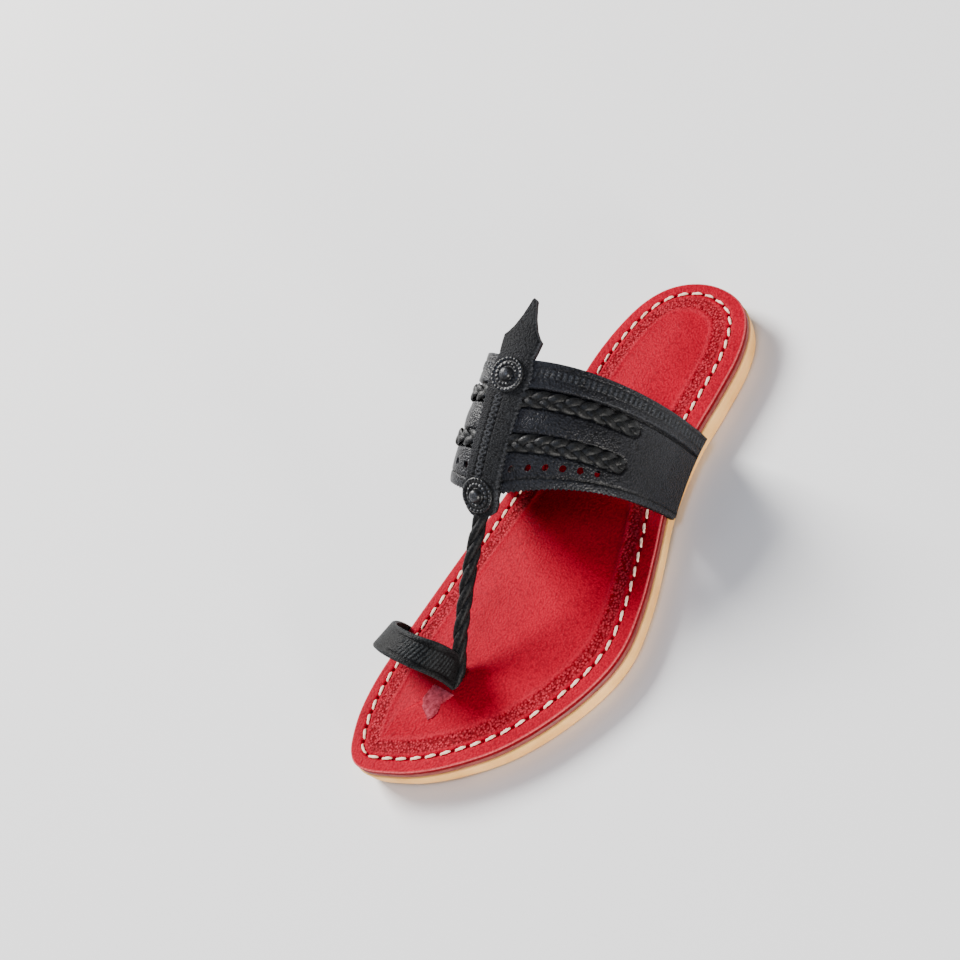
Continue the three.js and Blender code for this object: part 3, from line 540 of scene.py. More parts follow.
shader.inputs["IOR"].default_value = 1.46
shader.inputs["Specular IOR Level"].default_value = 0.045
shader.inputs["Specular Tint"].default_value = linear("#FF5064")

faces = layer_faces(*points.shape[:2])
footbed = put("red_footbed", points, faces, red_hide, marks)
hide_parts("insole")

# Edge stitches
# Off-white waxed linen thread of two plies, saddle-stitched by hand through the footbed and the
# midsole. Each stitch lies in the groove, a little slantwise, and dives into its holes.
THREAD_RADIUS = 0.52
STITCH_REACH = 2.35
STITCH_SLANT = 0.12
STITCH_RINGS, STITCH_SIDES = 15, 12


def groove_place(distance, sideways):
    """Points of the stitch groove at a distance run from the toe, moved in by sideways."""
    runs, ends = np.append(run, once_round), np.append(turns, 2 * np.pi)
    turn = np.interp(np.mod(distance, once_round), runs, ends)
    x, y = inset(turn, stitch_line(turn) + sideways)
    return np.stack([x, y, insole_top(y)], axis=-1)


# Each stitch is a tube from -1 to 1: full until it rounds off at its ends, with two plies that
# wind round it. It arches up by the rise and dives in at both ends.
ring = np.linspace(-1, 1, STITCH_RINGS)[None, :, None]
round_about = np.linspace(0, 2 * np.pi, STITCH_SIDES, endpoint=False)[None, None, :]
middle = (np.arange(stitches) + 0.5)[:, None, None] * pitch
bulk = np.sqrt(np.clip(1 - np.abs(ring) ** 7, 0.02, 1))
plies = 1 + 0.16 * np.cos(2 * (round_about - ring * 2.6))
radius = THREAD_RADIUS * bulk * plies
slant = STITCH_SLANT * STITCH_REACH * ring
places = groove_place(middle + STITCH_REACH * ring, slant + radius * np.cos(round_about))
rise = 0.2 * (1 - np.abs(ring) ** 3) - 0.35 * np.abs(ring) ** 6
places[..., 2] += rise + 0.85 * radius * np.sin(round_about) - 0.05


def loop_faces(rows, sides, count):
    """Faces of count tubes of rows by sides points, with a fan of quads folded over each end."""
    index = np.arange(rows * sides).reshape(rows, sides)
    right = np.roll(index, -1, axis=1)
    body = np.stack([index[:-1], right[:-1], right[1:], index[1:]], axis=-1).reshape(-1, 4)
    half = sides // 2
    low = np.array([(k, k + 1, sides - 2 - k, sides - 1 - k) for k in range(half - 1)])
    ends = np.concatenate([low[:, ::-1], low + (rows - 1) * sides])
    one = np.concatenate([body, ends])
    return (one[None] + (np.arange(count) * rows * sides)[:, None, None]).reshape(-1, 4)


# Waxed linen: a dull off-white, faintly stained by the red dye, with fibres along the plies.
linen, tree, shader = new_finish("waxed_linen_thread")
place = add(tree, "ShaderNodeTexCoord").outputs["Object"]
stain = add(tree, "ShaderNodeTexNoise", {"Scale": 260, "Detail": 4}, {"Vector": place})
tone = add(tree, "ShaderNodeValToRGB", links={"Fac": stain.outputs["Fac"]})
set_stops(tone, (0.3, "#E8B496"), (0.65, "#FFDFC6"))
tree.links.new(tone.outputs["Color"], shader.inputs["Base Color"])
fuzz = add(tree, "ShaderNodeTexNoise", {"Scale": 4000, "Detail": 3}, {"Vector": place})
ground = add(tree, "ShaderNodeBump", {"Strength": 0.4, "Distance": 0.0001},
             {"Height": fuzz.outputs["Fac"]})
tree.links.new(ground.outputs["Normal"], shader.inputs["Normal"])
shader.inputs["Roughness"].default_value = 0.6

faces = loop_faces(STITCH_RINGS, STITCH_SIDES, stitches)
put("edge_stitches", places, faces, linen)

# Instep band
# Black buffalo leather, 2.2 mm thick: one wide strap over the instep, skived and glued between
# the layers on both sides. Its rear edge is an overlay stamped with a row of bars, its front has
# punched holes, and slots with pressed edges hold the plaits.
INSTEP_RISE = 65.8
STRAP_WALL = 2.2
TAIL_WALL = 1.7
FOOT_STAND = 0.5
BAND_BOW = 3.1
EDGE_STEP = 0.6
# Shares of ball width, sole length and instep rise at the band's front edge and at its rear edge:
# the crown's three, then for each side the foot's place along the sole and the arch's roundness,
# drop and lean.
BAND_CROWN = np.array([(-0.167, -0.066, 0.66), (-0.222, 0.131, 1.0)])
BAND_SIDE = {
    1: np.array([(0.083, 0.7, 0.8, 0.35), (0.232, 0.98, 0.92, 0.55)]),
    -1: np.array([(0.042, 0.55, 0.61, 1.0), (0.198, 0.47, 0.61, 1.0)]),
}
BULGE = {1: 0.8, -1: 4.0}
BAND_TABLE = 161
ARCH_TABLE = 321


def crown_line(v):
    """Crown of the band for a width share from front edge to rear edge: a straight line between
    the two edges with a slight bow upwards."""
    across, along, rise = (BAND_CROWN[0] + (BAND_CROWN[1] - BAND_CROWN[0]) * v[..., None]).T
    y = along.T * SOLE_LENGTH
    bow = BAND_BOW * np.sin(np.pi * np.clip(v, 0, 1) ** 0.6)
    z = insole_top(y) + rise.T * INSTEP_RISE + bow
    return np.stack([across.T * BALL_WIDTH + CENTRED, y, z], axis=-1)


def half_arch(v, side):
    """Half arches from crown to foot, one row per width share: a flattened ellipse whose height
    is a power of the cosine and whose reach is a power of the sine, leaning along the sole."""
    front, rear = BAND_SIDE[side]
    along, roundness, drop, lean = (front + np.outer(v, rear - front)).T[:, :, None]
    foot_y = along * SOLE_LENGTH
    turn = np.arccos(-2 * foot_y / SOLE_LENGTH)
    foot_x = inset(turn if side > 0 else 2 * np.pi - turn, -(FOOT_STAND + STRAP_WALL))[0]
    foot_z = outsole_top(foot_y) - TAIL_WALL
    crown = crown_line(v)[:, None, :]
    angle = np.linspace(0, 1, 601)[None, :] ** 1.5 * np.pi / 2
    height = np.clip(np.cos(angle), 1e-12, 1) ** drop
    reach = np.sin(angle) ** roundness
    bulge = side * BULGE[side] * np.sin(np.pi * height)
    x = crown[..., 0] + (foot_x - crown[..., 0]) * reach + bulge
    y = crown[..., 1] + (foot_y - crown[..., 1]) * (1 - height) ** lean
    z = foot_z + (crown[..., 2] - foot_z) * height
    return np.stack([x, y, z], axis=-1)


def even_arch(v, side):
    """The half arches again at even distances from crown to foot, and their lengths."""
    arches = half_arch(v, side)
    run = np.cumsum(np.linalg.norm(np.diff(arches, axis=1), axis=2), axis=1)
    run = np.concatenate([np.zeros((len(v), 1)), run], axis=1)
    places = np.linspace(0, 1, ARCH_TABLE)
    even = np.stack([
        np.stack([np.interp(places * along[-1], along, arch[:, k]) for k in range(3)], axis=-1)
        for arch, along in zip(arches, run)
    ])
    return even, run[:, -1]


band_v = np.linspace(0, 1, BAND_TABLE)
outer_arch, outer_length = even_arch(band_v, 1)
inner_arch, inner_length = even_arch(band_v, -1)
band_places = np.concatenate([inner_arch[:, :0:-1], outer_arch], axis=1)
band_normals = np.cross(np.gradient(band_places, axis=1), np.gradient(band_places, axis=0))
band_normals /= np.linalg.norm(band_normals, axis=2, keepdims=True)


def side_length(v, outer):
    """Length from crown to foot at a width share, of the outer side or else the inner."""
    return np.where(outer, np.interp(v, band_v, outer_length), np.interp(v, band_v, inner_length))


def on_band(from_crown, v, lift):
    """Point on the band at a distance from the crown, outer side positive, and a width share,
    lifted square to the leather; between table points it is a weighted mean of four."""
    from_crown, v, lift = np.broadcast_arrays(from_crown, v, lift)
    share = np.clip(from_crown / side_length(v, from_crown > 0), -1, 1)
    column = share * (ARCH_TABLE - 1) + ARCH_TABLE - 1
    row = np.clip(v, 0, 1) * (BAND_TABLE - 1)
    i = np.minimum(row.astype(int), BAND_TABLE - 2)
    j = np.minimum(column.astype(int), 2 * ARCH_TABLE - 3)
    s, t = (row - i)[..., None], (column - j)[..., None]
    place, normal = (
        (1 - s) * ((1 - t) * table[i, j] + t * table[i, j + 1])
        + s * ((1 - t) * table[i + 1, j] + t * table[i + 1, j + 1])
        for table in (band_places, band_normals)
    )
    return place + normal * lift[..., None]


def sheet_faces(rows, columns):
    """Faces of a grid of points, rows by columns."""
    index = np.arange(rows * columns).reshape(rows, columns)
    quads = [index[:-1, :-1], index[:-1, 1:], index[1:, 1:], index[1:, :-1]]
    return np.stack(quads, axis=-1).reshape(-1, 4)


def wall_between(outer, inner):
    """Points and faces of a closed wall between two grids of the same size."""
    rows, columns = outer.shape[:2]
    top = sheet_faces(rows, columns)
    count = rows * columns
    index = np.arange(count).reshape(rows, columns)
    rim = np.concatenate([index[0], index[1:, -1], index[-1, -2::-1], index[-2:0:-1, 0]])
    ahead = np.roll(rim, -1)
    side = np.stack([ahead, rim, rim + count, ahead + count], axis=-1)
    points = np.concatenate([outer.reshape(-1, 3), inner.reshape(-1, 3)])
    return points, np.concatenate([top, top[:, ::-1] + count, side])


def outer_marks(values, shape):
    """A mark for a wall between two grids of a shape: its values outside and none inside."""
    values = np.broadcast_to(values, shape)
    return np.concatenate([values.ravel(), np.zeros(values.size)])


PINK_PITCH = 2.1


def pinked(distance):
    """Teeth of the pinking wheel along an edge: a straight zigzag between 0 and 1."""
    return np.abs(np.mod(distance / PINK_PITCH, 1) - 0.5) * 2


# Plaits: distance from the crown where each starts and ends, and the width share of its middle
# line at both.
PLAITS = [(7.0, 58.0, 0.70, 0.66), (7.0, 56.0, 0.36, 0.28)]
PLAIT_WIDTH = 6.6
HOLES, HOLE_PITCH, HOLE_RADIUS = 6, 6.9, 1.4
CENTRE_WIDTH = 17.0
# Width shares of the rim, the hem's cut, the holes, the overlay's edge and the row of bars, the
# pitches of hem and bars, how deep each tool went in, and how high bars and swell stand.
RIM_LINE, HEM_LINE, HOLE_LINE, OVERLAY_LINE, BAR_LINE = 0.03, 0.078, 0.16, 0.775, 0.905
HEM_PITCH, BAR_PITCH = 1.9, 2.3
HEM_DEPTH, OVERLAY_DEPTH, RAIL_DEPTH, SLOT_DEPTH, BED_DEPTH = 0.75, 0.9, 0.25, 0.8, 0.7
BAR_RISE, BAR_SINK, SWELL_RISE = 0.42, 0.2, 0.5
BAND_ROWS, BAND_COLUMNS = 112, 336

band_rows = np.linspace(0, 1, BAND_ROWS)[:, None]
share = np.linspace(-1, 1, BAND_COLUMNS)
v = band_rows * np.ones((1, BAND_COLUMNS))
length = side_length(v, share > 0)
arc = share * length
away = np.abs(arc)
width = np.linalg.norm(band_places[-1] - band_places[0], axis=1)
band_width = np.interp(share, np.linspace(-1, 1, len(width)), width)[None, :]
# The front edge is pinked: teeth about 2 mm apart, deeper towards the sole.
tooth = 0.5 + 0.8 * smooth(away / length, 0.72, 0.95)
v = v + pinked(arc) * tooth / band_width * np.clip(1 - band_rows / 0.06, 0, 1)


def mm_from(line):
    """Distance of each point of the band behind a line at a width share."""
    return (v - line) * band_width


border = smooth(mm_from(OVERLAY_LINE), -0.1, 0.45)
overlay_cut = np.exp(-((mm_from(OVERLAY_LINE) + 0.4) / 0.5) ** 2)
bar_row = np.exp(-(mm_from(BAR_LINE) / 1.75) ** 6)
bars = 0.5 - 0.5 * np.cos(2 * np.pi * arc / BAR_PITCH)
rails = np.exp(-((np.abs(mm_from(BAR_LINE)) - 2.25) / 0.28) ** 2)
hem_teeth = 0.5 + 0.5 * np.sin(np.pi * arc / HEM_PITCH) ** 2
hem_cut = np.exp(-(mm_from(HEM_LINE) / 0.42) ** 2) * hem_teeth
slot_cut, slot_bed = np.zeros((2, *v.shape))
for start, end, first, last in PLAITS:
    line_v = first + (last - first) * np.clip((away - start) / (end - start), 0, 1)
    past = np.maximum(0, away - end + PLAIT_WIDTH / 2)
    distance = np.hypot((v - line_v) * band_width, past)
    slot_cut += np.exp(-((distance - PLAIT_WIDTH / 2 - 0.25) / 0.36) ** 2)
    slot_bed += 1 - smooth(distance, PLAIT_WIDTH / 2 - 0.4, PLAIT_WIDTH / 2)
# Between the plaits the leather swells a little.
swell = SWELL_RISE * np.exp(-(mm_from(0.5) / 4.5) ** 2) * (1 - smooth(away, 40, 60))
relief = (EDGE_STEP * border - OVERLAY_DEPTH * overlay_cut + bar_row * (BAR_RISE * bars - BAR_SINK)
          - RAIL_DEPTH * rails - HEM_DEPTH * hem_cut - SLOT_DEPTH * slot_cut
          - BED_DEPTH * slot_bed + swell)
relief *= smooth(1 - np.abs(share), 0, 0.01)

# Holes: faces within a punch's radius go, and the corners left round it move onto its circle.
keep = np.ones((BAND_ROWS - 1, BAND_COLUMNS - 1), bool)
grid_arc, grid_v = arc.copy(), v.copy()
for side in (1, -1):
    for step in range(HOLES):
        middle = side * (CENTRE_WIDTH / 2 + HOLE_PITCH * (step + 0.4))
        from_hole = np.hypot(grid_arc - middle, (grid_v - HOLE_LINE) * band_width)
        inside = from_hole < HOLE_RADIUS
        keep &= ~(inside[:-1, :-1] & inside[:-1, 1:] & inside[1:, :-1] & inside[1:, 1:])
        pull = np.where(inside, HOLE_RADIUS / np.maximum(from_hole, 0.05), 1)
        grid_arc = middle + (grid_arc - middle) * pull
        grid_v = HOLE_LINE + (grid_v - HOLE_LINE) * pull
points = on_band(grid_arc, grid_v, relief)
faces = sheet_faces(*v.shape)[keep.ravel()]
# Painted shade in the slot cuts, the overlay cut, the hem cut, the rails and the dips between the
# bars; painted highlight on the bar tops and the overlay's step; wear and painted highlight along
# the front and rear rims.
recess_shade = (1.2 * slot_cut + 1.5 * overlay_cut + 1.8 * hem_cut + 0.7 * rails
           + bar_row * (1 - bars))
wear_and_highlight = (bar_row * bars + 0.4 * np.exp(-(mm_from(OVERLAY_LINE + 0.02) / 0.5) ** 2)
          + np.exp(-(mm_from(1.0) / 0.5) ** 2) + 0.3 * np.exp(-(mm_from(RIM_LINE) / 1.3) ** 2))
marks = {"recess_shade": np.clip(recess_shade, 0, 1), "wear_and_highlight": np.clip(wear_and_highlight, 0, 1)}


def black_hide(name, cell, depth, gloss, wax, shade, wear_and_highlight="#3A3C40"):
    """Black buffalo leather, milled to a pebbled grain of the given cell and depth in millimetres
    and finished with more or less wax. Painted shade makes it dull black in the recesses a tool
    pressed in, and it is greyer where an edge is worn and where a painted highlight lies on edges,
    stamps and beads. The pebbles' lighter middles and darker creases are partly their own colour
    and partly painted highlight and painted shade."""
    finish, tree, shader = new_finish(name)
    place = add(tree, "ShaderNodeTexCoord").outputs["Object"]
    mottle = add(tree, "ShaderNodeTexNoise", {"Scale": 60, "Detail": 5, "Roughness": 0.6},
                 {"Vector": place})
    tone = add(tree, "ShaderNodeValToRGB", links={"Fac": mottle.outputs["Fac"]})
    dark, pale = tone.color_ramp.elements
    dark.position, dark.color = 0.3, (*(0.55 * part for part in linear(shade)[:3]), 1.0)
    pale.position, pale.color = 0.7, linear(shade)
    # Painted shade darkens the pressed recesses; a greyer tone marks wear and painted highlights.
    colour = shaded(tree, tone.outputs["Color"], (
        ("recess_shade", "#040405", 0.85), ("wear_and_highlight", wear_and_highlight, 0.55),
    ))
    pebble = add(tree, "ShaderNodeTexVoronoi", {"Scale": 1000 / cell}, {"Vector": place},
                 feature="SMOOTH_F1")
    # Lighter pebble middles and darker creases: partly the grain's colour, and partly painted
    # highlight and painted shade.
    tree.links.new(grained(tree, colour, pebble, 1.9, 0.25), shader.inputs["Base Color"])
    crease = add(tree, "ShaderNodeTexNoise", {"Scale": 700 / cell, "Detail": 4, "Roughness": 0.65},
                 {"Vector": place})
    lumps = add(tree, "ShaderNodeBump", {"Strength": 1.0, "Distance": depth / 1000},
                {"Height": pebble.outputs["Distance"]}, invert=True)
    hide = add(tree, "ShaderNodeBump", {"Strength": 0.5, "Distance": depth / 2000},
               {"Height": crease.outputs["Fac"], "Normal": lumps.outputs["Normal"]})
    tree.links.new(hide.outputs["Normal"], shader.inputs["Normal"])
    shine = add(tree, "ShaderNodeMapRange", {"To Min": gloss, "To Max": gloss + 0.2},
                {"Value": crease.outputs["Fac"]})
    tree.links.new(shine.outputs["Result"], shader.inputs["Roughness"])
    shader.inputs["IOR"].default_value = 1.5
    shader.inputs["Specular IOR Level"].default_value = wax
    return finish


strap_hide = black_hide("pebbled_black_buffalo_hide", 0.7, 0.36, 0.29, 0.17, "#1A1B1F",
                        "#34373C")
band = put("instep_band", points, faces, strap_hide, marks)
thickness = band.modifiers.new("leather_thickness", "SOLIDIFY")
thickness.thickness = STRAP_WALL / 1000
thickness.offset = -1
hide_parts("upper")

# Plaits
# Four plaits of three black laces, cut from the same hide and drawn through slots in the band, so
# that only the upper side of each plait stands out of the leather.
LACE_HALF_WIDTH, LACE_HALF_WALL = 1.7, 0.6
LACE_RINGS, LACE_SIDES = 150, 10
PLAIT_PITCH = 19.0
# How far the laces swing sideways, how high they lie, and how far they pass over and under.
LACE_SWING, LACE_LIFT, LACE_WAVE = 1.95, 0.45, 0.72


def tube(path, up, half_width, half_wall, sides):
    """Oval tube along paths (count, rings, 3): its width lies square to the path and to up."""
    along = np.gradient(path, axis=1)
    along /= np.linalg.norm(along, axis=2, keepdims=True)
    across = np.cross(along, up)
    across /= np.linalg.norm(across, axis=2, keepdims=True)
    rise = np.cross(across, along)
    angle = np.linspace(0, 2 * np.pi, sides, endpoint=False)
    out = (half_width[..., None] * np.cos(angle))[..., None]
    above = (half_wall[..., None] * np.sin(angle))[..., None]
    return path[:, :, None] + across[:, :, None] * out + rise[:, :, None] * above


# Three laces of one plait swing from side to side a third of the pitch apart, and each goes over
# and under twice as often. The plait narrows round its end.
laces, lace_ups = [], []
middle_run = np.interp(0.5, band_v, outer_length)
for side in (1, -1):
    for start, end, first, last in PLAITS:
        reach = np.linspace(start - 2, end - 0.6, LACE_RINGS)
        narrow = np.sqrt(np.clip(1 - np.clip((reach - end + 4) / 4.6, 0, 1) ** 2, 0.02, 1))
        phase = 2 * np.pi * (reach / PLAIT_PITCH + np.arange(3)[:, None] / 3)
        sideways = LACE_SWING * narrow * np.sin(phase)
        lift = LACE_LIFT + LACE_WAVE * np.sin(2 * phase) * narrow
        middle_v = first + (last - first) * (reach - start) / (end - start)
        local_width = np.interp(side * reach, share * middle_run, band_width[0])
        up = on_band(side * reach, middle_v, 1.0) - on_band(side * reach, middle_v, 0.0)
        laces.append(on_band(side * reach, middle_v + sideways / local_width, lift))
        lace_ups.append([up] * 3)
laces, lace_ups = np.concatenate(laces), np.concatenate(lace_ups)
rounding = np.sqrt(np.clip(1 - np.linspace(-0.2, 1, LACE_RINGS) ** 24, 0.05, 1))
taper = rounding * np.ones((len(laces), 1))
skins = tube(laces, lace_ups, LACE_HALF_WIDTH * taper, LACE_HALF_WALL * taper, LACE_SIDES)
lace_hide = black_hide("waxed_black_lace_leather", 0.5, 0.14, 0.34, 0.16, "#18191A")
faces = loop_faces(LACE_RINGS, LACE_SIDES, len(laces))
put("plaits", skins, faces, lace_hide)

# Centre strap
# A thicker black strap along the crown, cut to a spear behind the band and pinked along both long
# edges. A chain of small rings is stamped down its middle, where it is folded a little.
CENTRE_WALL = 2.4
CENTRE_CROWN_RADIUS = 34.0
CENTRE_ROLL = 0.14
SPEAR_SLOPE = 0.28
FRONT_END_DROP = 0.75
CENTRE_COLUMNS = 41
PINK_DEPTH = 0.85
CHAIN_MIDDLE, CHAIN_HALF, CHAIN_PITCH = -1.3, 2.2, 2.5
LINK_RISE, LINK_SINK, FOLD_RISE = 0.55, 0.4, 0.55
# Reach from the band's front edge, 0, to its rear edge, 1, and half width as a share.
CENTRE_EDGE = np.array([
    (-0.13, 0.0), (-0.125, 0.12), (-0.11, 0.27), (-0.08, 0.4), (-0.03, 0.455), (0.0, 0.46),
    (0.14, 0.47), (0.32, 0.48), (0.5, 0.49), (0.66, 0.5), (0.78, 0.55), (0.87, 0.58),
    (0.95, 0.55), (1.03, 0.47), (1.13, 0.505), (1.15, 0.51), (1.165, 0.45), (1.18, 0.4),
    (1.22, 0.3), (1.3, 0.17), (1.38, 0.08), (1.42, 0.045), (1.43, 0.0),
])
crown_ends = crown_line(np.array([0.0, 1.0]))
crown_run = np.linalg.norm(crown_ends[1] - crown_ends[0])


def centre_line(reach):
    """The crown line, run on straight behind the band and bent down in front of it."""
    place = crown_line(np.clip(reach, 0, 1))
    past = (reach - np.clip(reach, 0, 1)) * crown_run
    drift = (crown_ends[1, 0] - crown_ends[0, 0]) * past / crown_run
    behind = past > 0
    along = np.where(behind, past, past * FRONT_END_DROP)
    return place + np.stack([drift, along, np.where(behind, past * SPEAR_SLOPE, along)], axis=-1)


def centre_frame(reach):
    """Unit directions along the strap, across it with its slight roll, and square to it."""
    along = centre_line(reach + 0.06) - centre_line(reach - 0.06)
    along /= np.linalg.norm(along, axis=-1, keepdims=True)
    flat = np.array([1.0, 0, 0]) - along * along[..., :1]
    flat /= np.linalg.norm(flat, axis=-1, keepdims=True)
    across = flat * np.cos(CENTRE_ROLL) + np.cross(along, flat) * np.sin(CENTRE_ROLL)
    return along, across, np.cross(across, along)


def on_centre(reach, sideways, lift):
    """Point on the strap: its crossing section is a shallow arc round the crown line."""
    reach, sideways, lift = np.broadcast_arrays(reach, sideways, lift)
    _, across, normal = centre_frame(reach)
    sag = sideways**2 / (2 * CENTRE_CROWN_RADIUS)
    return centre_line(reach) + across * sideways[..., None] + normal * (lift - sag)[..., None]


reach = np.concatenate([
    np.linspace(-0.13, -0.08, 9)[:-1], np.linspace(-0.08, 1.14, 180)[:-1],
    np.linspace(1.14, 1.43, 46),
])[:, None]
half = np.interp(reach, CENTRE_EDGE[:, 0], CENTRE_EDGE[:, 1]) * CENTRE_WIDTH
along_mm = reach * crown_run
on_edge = smooth(reach, 0.03, 0.08) * (1 - smooth(reach, 1.0, 1.06))
half = half - PINK_DEPTH * pinked(along_mm) * on_edge
# Columns crowd towards both edges as a sine does near its ends.
quarter = 0.94 * np.pi / 2
side_share = np.sin(np.linspace(-quarter, quarter, CENTRE_COLUMNS))[None, :] / np.sin(quarter)
sideways = half * side_share
from_chain = sideways - CHAIN_MIDDLE
link = np.hypot((np.mod(along_mm / CHAIN_PITCH, 1) - 0.5) * CHAIN_PITCH, from_chain * 0.72)
in_chain = (smooth(reach, 0.1, 0.14) * (1 - smooth(reach, 0.7, 0.74))
            * (np.abs(from_chain) < CHAIN_HALF))
chain = in_chain * (LINK_RISE * np.exp(-((link - 0.88) / 0.3) ** 2) - LINK_SINK)
folded = smooth(reach, 0.0, 0.2) * (1 - smooth(reach, 0.8, 1.0))
fold = FOLD_RISE * np.exp(-np.abs(from_chain) / 2.6) * folded
edge_round = 0.5 * smooth(np.abs(side_share), 0.86, 1.0) ** 2
top = on_centre(reach, sideways, CENTRE_WALL + 0.2 + chain + fold - edge_round)
seated = smooth(reach, 0.0, 0.05) * (1 - smooth(reach, 0.97, 1.02))
under = on_centre(reach, sideways, -0.2 - 1.0 * seated)
points, faces = wall_between(top, under)
# Painted highlight on the chain's rings and on the pinked edges, with the edges also worn, and
# painted shade in the chain between the rings.
on_link = np.exp(-((link - 0.85) / 0.3) ** 2)
wear_and_highlight = smooth(np.abs(side_share), 0.9, 1.0) * 0.8 + in_chain * on_link
marks = {
    "recess_shade": outer_marks(in_chain * (1 - on_link), top.shape[:2]),
    "wear_and_highlight": outer_marks(np.clip(wear_and_highlight, 0, 1), top.shape[:2]),
}
centre_hide = black_hide("pebbled_black_centre_strap", 0.6, 0.36, 0.5, 0.06, "#1E1F21", "#404246")
put("centre_strap", points, faces, centre_hide, marks)

# Bosses
# Two round leather buttons on the centre strap: discs with two beaded rings punched up round a
# domed knob, waxed, with a painted highlight on the beads and on top of the knob and painted
# shade between the beads.
BOSS_RADIUS, BOSS_RISE = 7.2, 3.6
BOSS_SPOKES = 96
BEAD_HEIGHT = 0.34
# Radius and number of beads of both rings, and the profile from under the rim to the knob's top,
# as shares of radius and rise.
BEAD_RINGS = ((0.9, 24), (0.6, 16))
BOSS_PROFILE = np.array([
    (0.2, -0.1), (0.5, -0.1), (0.94, -0.1), (0.99, 0.02), (1.0, 0.14), (0.99, 0.24), (0.95, 0.31),
    (0.9, 0.33), (0.85, 0.31), (0.8, 0.25), (0.74, 0.22), (0.68, 0.27), (0.63, 0.36), (0.57, 0.38),
    (0.52, 0.33), (0.47, 0.26), (0.42, 0.26), (0.385, 0.36), (0.375, 0.5), (0.35, 0.68),
    (0.3, 0.82), (0.23, 0.92), (0.14, 0.98), (0.06, 1.0), (0.02, 1.0),
])
around = np.linspace(0, 2 * np.pi, BOSS_SPOKES, endpoint=False)[None, :]
radius, rise = (BOSS_PROFILE[:, k, None] for k in (0, 1))
upper_side = (np.arange(len(BOSS_PROFILE)) > 3)[:, None]
beading = upper_side * sum(
    np.exp(-((radius - ring) / 0.06) ** 2) * np.cos(beads * around) for ring, beads in BEAD_RINGS
)
faces = loop_faces(len(BOSS_PROFILE), BOSS_SPOKES, 1)
# Painted highlight on the bead tops and the knob's top, and painted shade between the beads.
marks = {
    "wear_and_highlight": np.clip(beading, 0, 1) + (rise > 0.9),
    "recess_shade": np.clip(-beading, 0, 1),
}
boss_hide = black_hide("waxed_black_button_leather", 0.5, 0.1, 0.24, 0.24, "#18191B", "#3C3E42")
for name, at, turn_by in (("rear_button", 0.87, 0.0), ("front_button", 0.02, 0.4)):
    _, across, normal = centre_frame(np.array(at))
    seat = on_centre(np.array(at), np.array(0.0), np.array(CENTRE_WALL + 0.15))
    third = np.cross(normal, across)
    x = radius * BOSS_RADIUS * np.cos(around + turn_by)
    y = radius * BOSS_RADIUS * np.sin(around + turn_by)
    z = rise * BOSS_RISE + BEAD_HEIGHT * beading
    points = seat + x[..., None] * across + y[..., None] * third + z[..., None] * normal
    button = put(name, points, faces, boss_hide, marks)
    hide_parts(name.replace("button", "boss"))

# Toe post
# A cord of three black leather laces, twisted tight and waxed. It runs from the front end of the
# centre strap down through a hole in the footbed between the toes.
CORD_RADIUS = 2.9
TWIST_LENGTH = 27.0
STRAND_RADIUS = 1.62
POST_RINGS, POST_SIDES = 220, 14
# The foot of the cord, as shares of ball width and sole length from the sole's middle.
POST_ACROSS, POST_ALONG = -0.104, -0.308
post_x, post_y = POST_ACROSS * BALL_WIDTH + CENTRED, POST_ALONG * SOLE_LENGTH
POST_FOOT = np.array([post_x, post_y, insole_top(post_y)])
POST_HEAD = on_centre(np.array(-0.07), np.array(0.0), np.array(-CORD_RADIUS / 2))
# Shares of the run and the rise from foot to head, and the sideways bow in millimetres.
POST_BEND = np.array([
    (-0.05, -0.06, 0), (0.1, 0.12, 0), (0.24, 0.31, -0.2), (0.45, 0.53, -0.4), (0.68, 0.76, -0.3),
    (0.88, 0.93, 0), (1.02, 1.02, 0),
])


def through(knots, count):
    """A smooth line through knots: cubic pieces whose slope at each knot is half the step between
    its neighbours, at even distances."""
    ends = np.concatenate([2 * knots[:1] - knots[1:2], knots, 2 * knots[-1:] - knots[-2:-1]])
    t = np.linspace(0, 1, 41)[None, :, None]
    a, b, c, d = (ends[k:len(ends) - 3 + k][:, None] for k in range(4))
    curve = 0.5 * (2 * b + (c - a) * t + (2 * a - 5 * b + 4 * c - d) * t**2
                   + (3 * b - a - 3 * c + d) * t**3)
    curve = np.concatenate([curve[:, :-1].reshape(-1, 3), knots[-1:]])
    run = np.concatenate([[0], np.cumsum(np.linalg.norm(np.diff(curve, axis=0), axis=1))])
    places = np.linspace(0, run[-1], count)
    return np.stack([np.interp(places, run, curve[:, k]) for k in range(3)], axis=-1), places


knots = np.stack([
    POST_FOOT[0] + (POST_HEAD[0] - POST_FOOT[0]) * POST_BEND[:, 0] + POST_BEND[:, 2],
    POST_FOOT[1] + (POST_HEAD[1] - POST_FOOT[1]) * POST_BEND[:, 0],
    POST_FOOT[2] + (POST_HEAD[2] - POST_FOOT[2]) * POST_BEND[:, 1],
], axis=-1)
core, run_up = through(knots, POST_RINGS)
along = np.gradient(core, axis=0)
along /= np.linalg.norm(along, axis=1, keepdims=True)
across = np.array([1.0, 0, 0]) - along * along[:, :1]
across /= np.linalg.norm(across, axis=1, keepdims=True)
normal = np.cross(along, across)
angle = 2 * np.pi * run_up[None, :] / TWIST_LENGTH + np.arange(3)[:, None] * 2 * np.pi / 3
outward = across * np.cos(angle)[..., None] + normal * np.sin(angle)[..., None]
offset = CORD_RADIUS * 1.06 - STRAND_RADIUS
strands = core + outward * offset
fat = STRAND_RADIUS * (1 + 0.05 * np.sin(run_up * 0.9) + 0.12 * np.exp(-run_up / 5))[None, :]
skins = tube(strands, outward, fat * 1.12, fat, POST_SIDES)
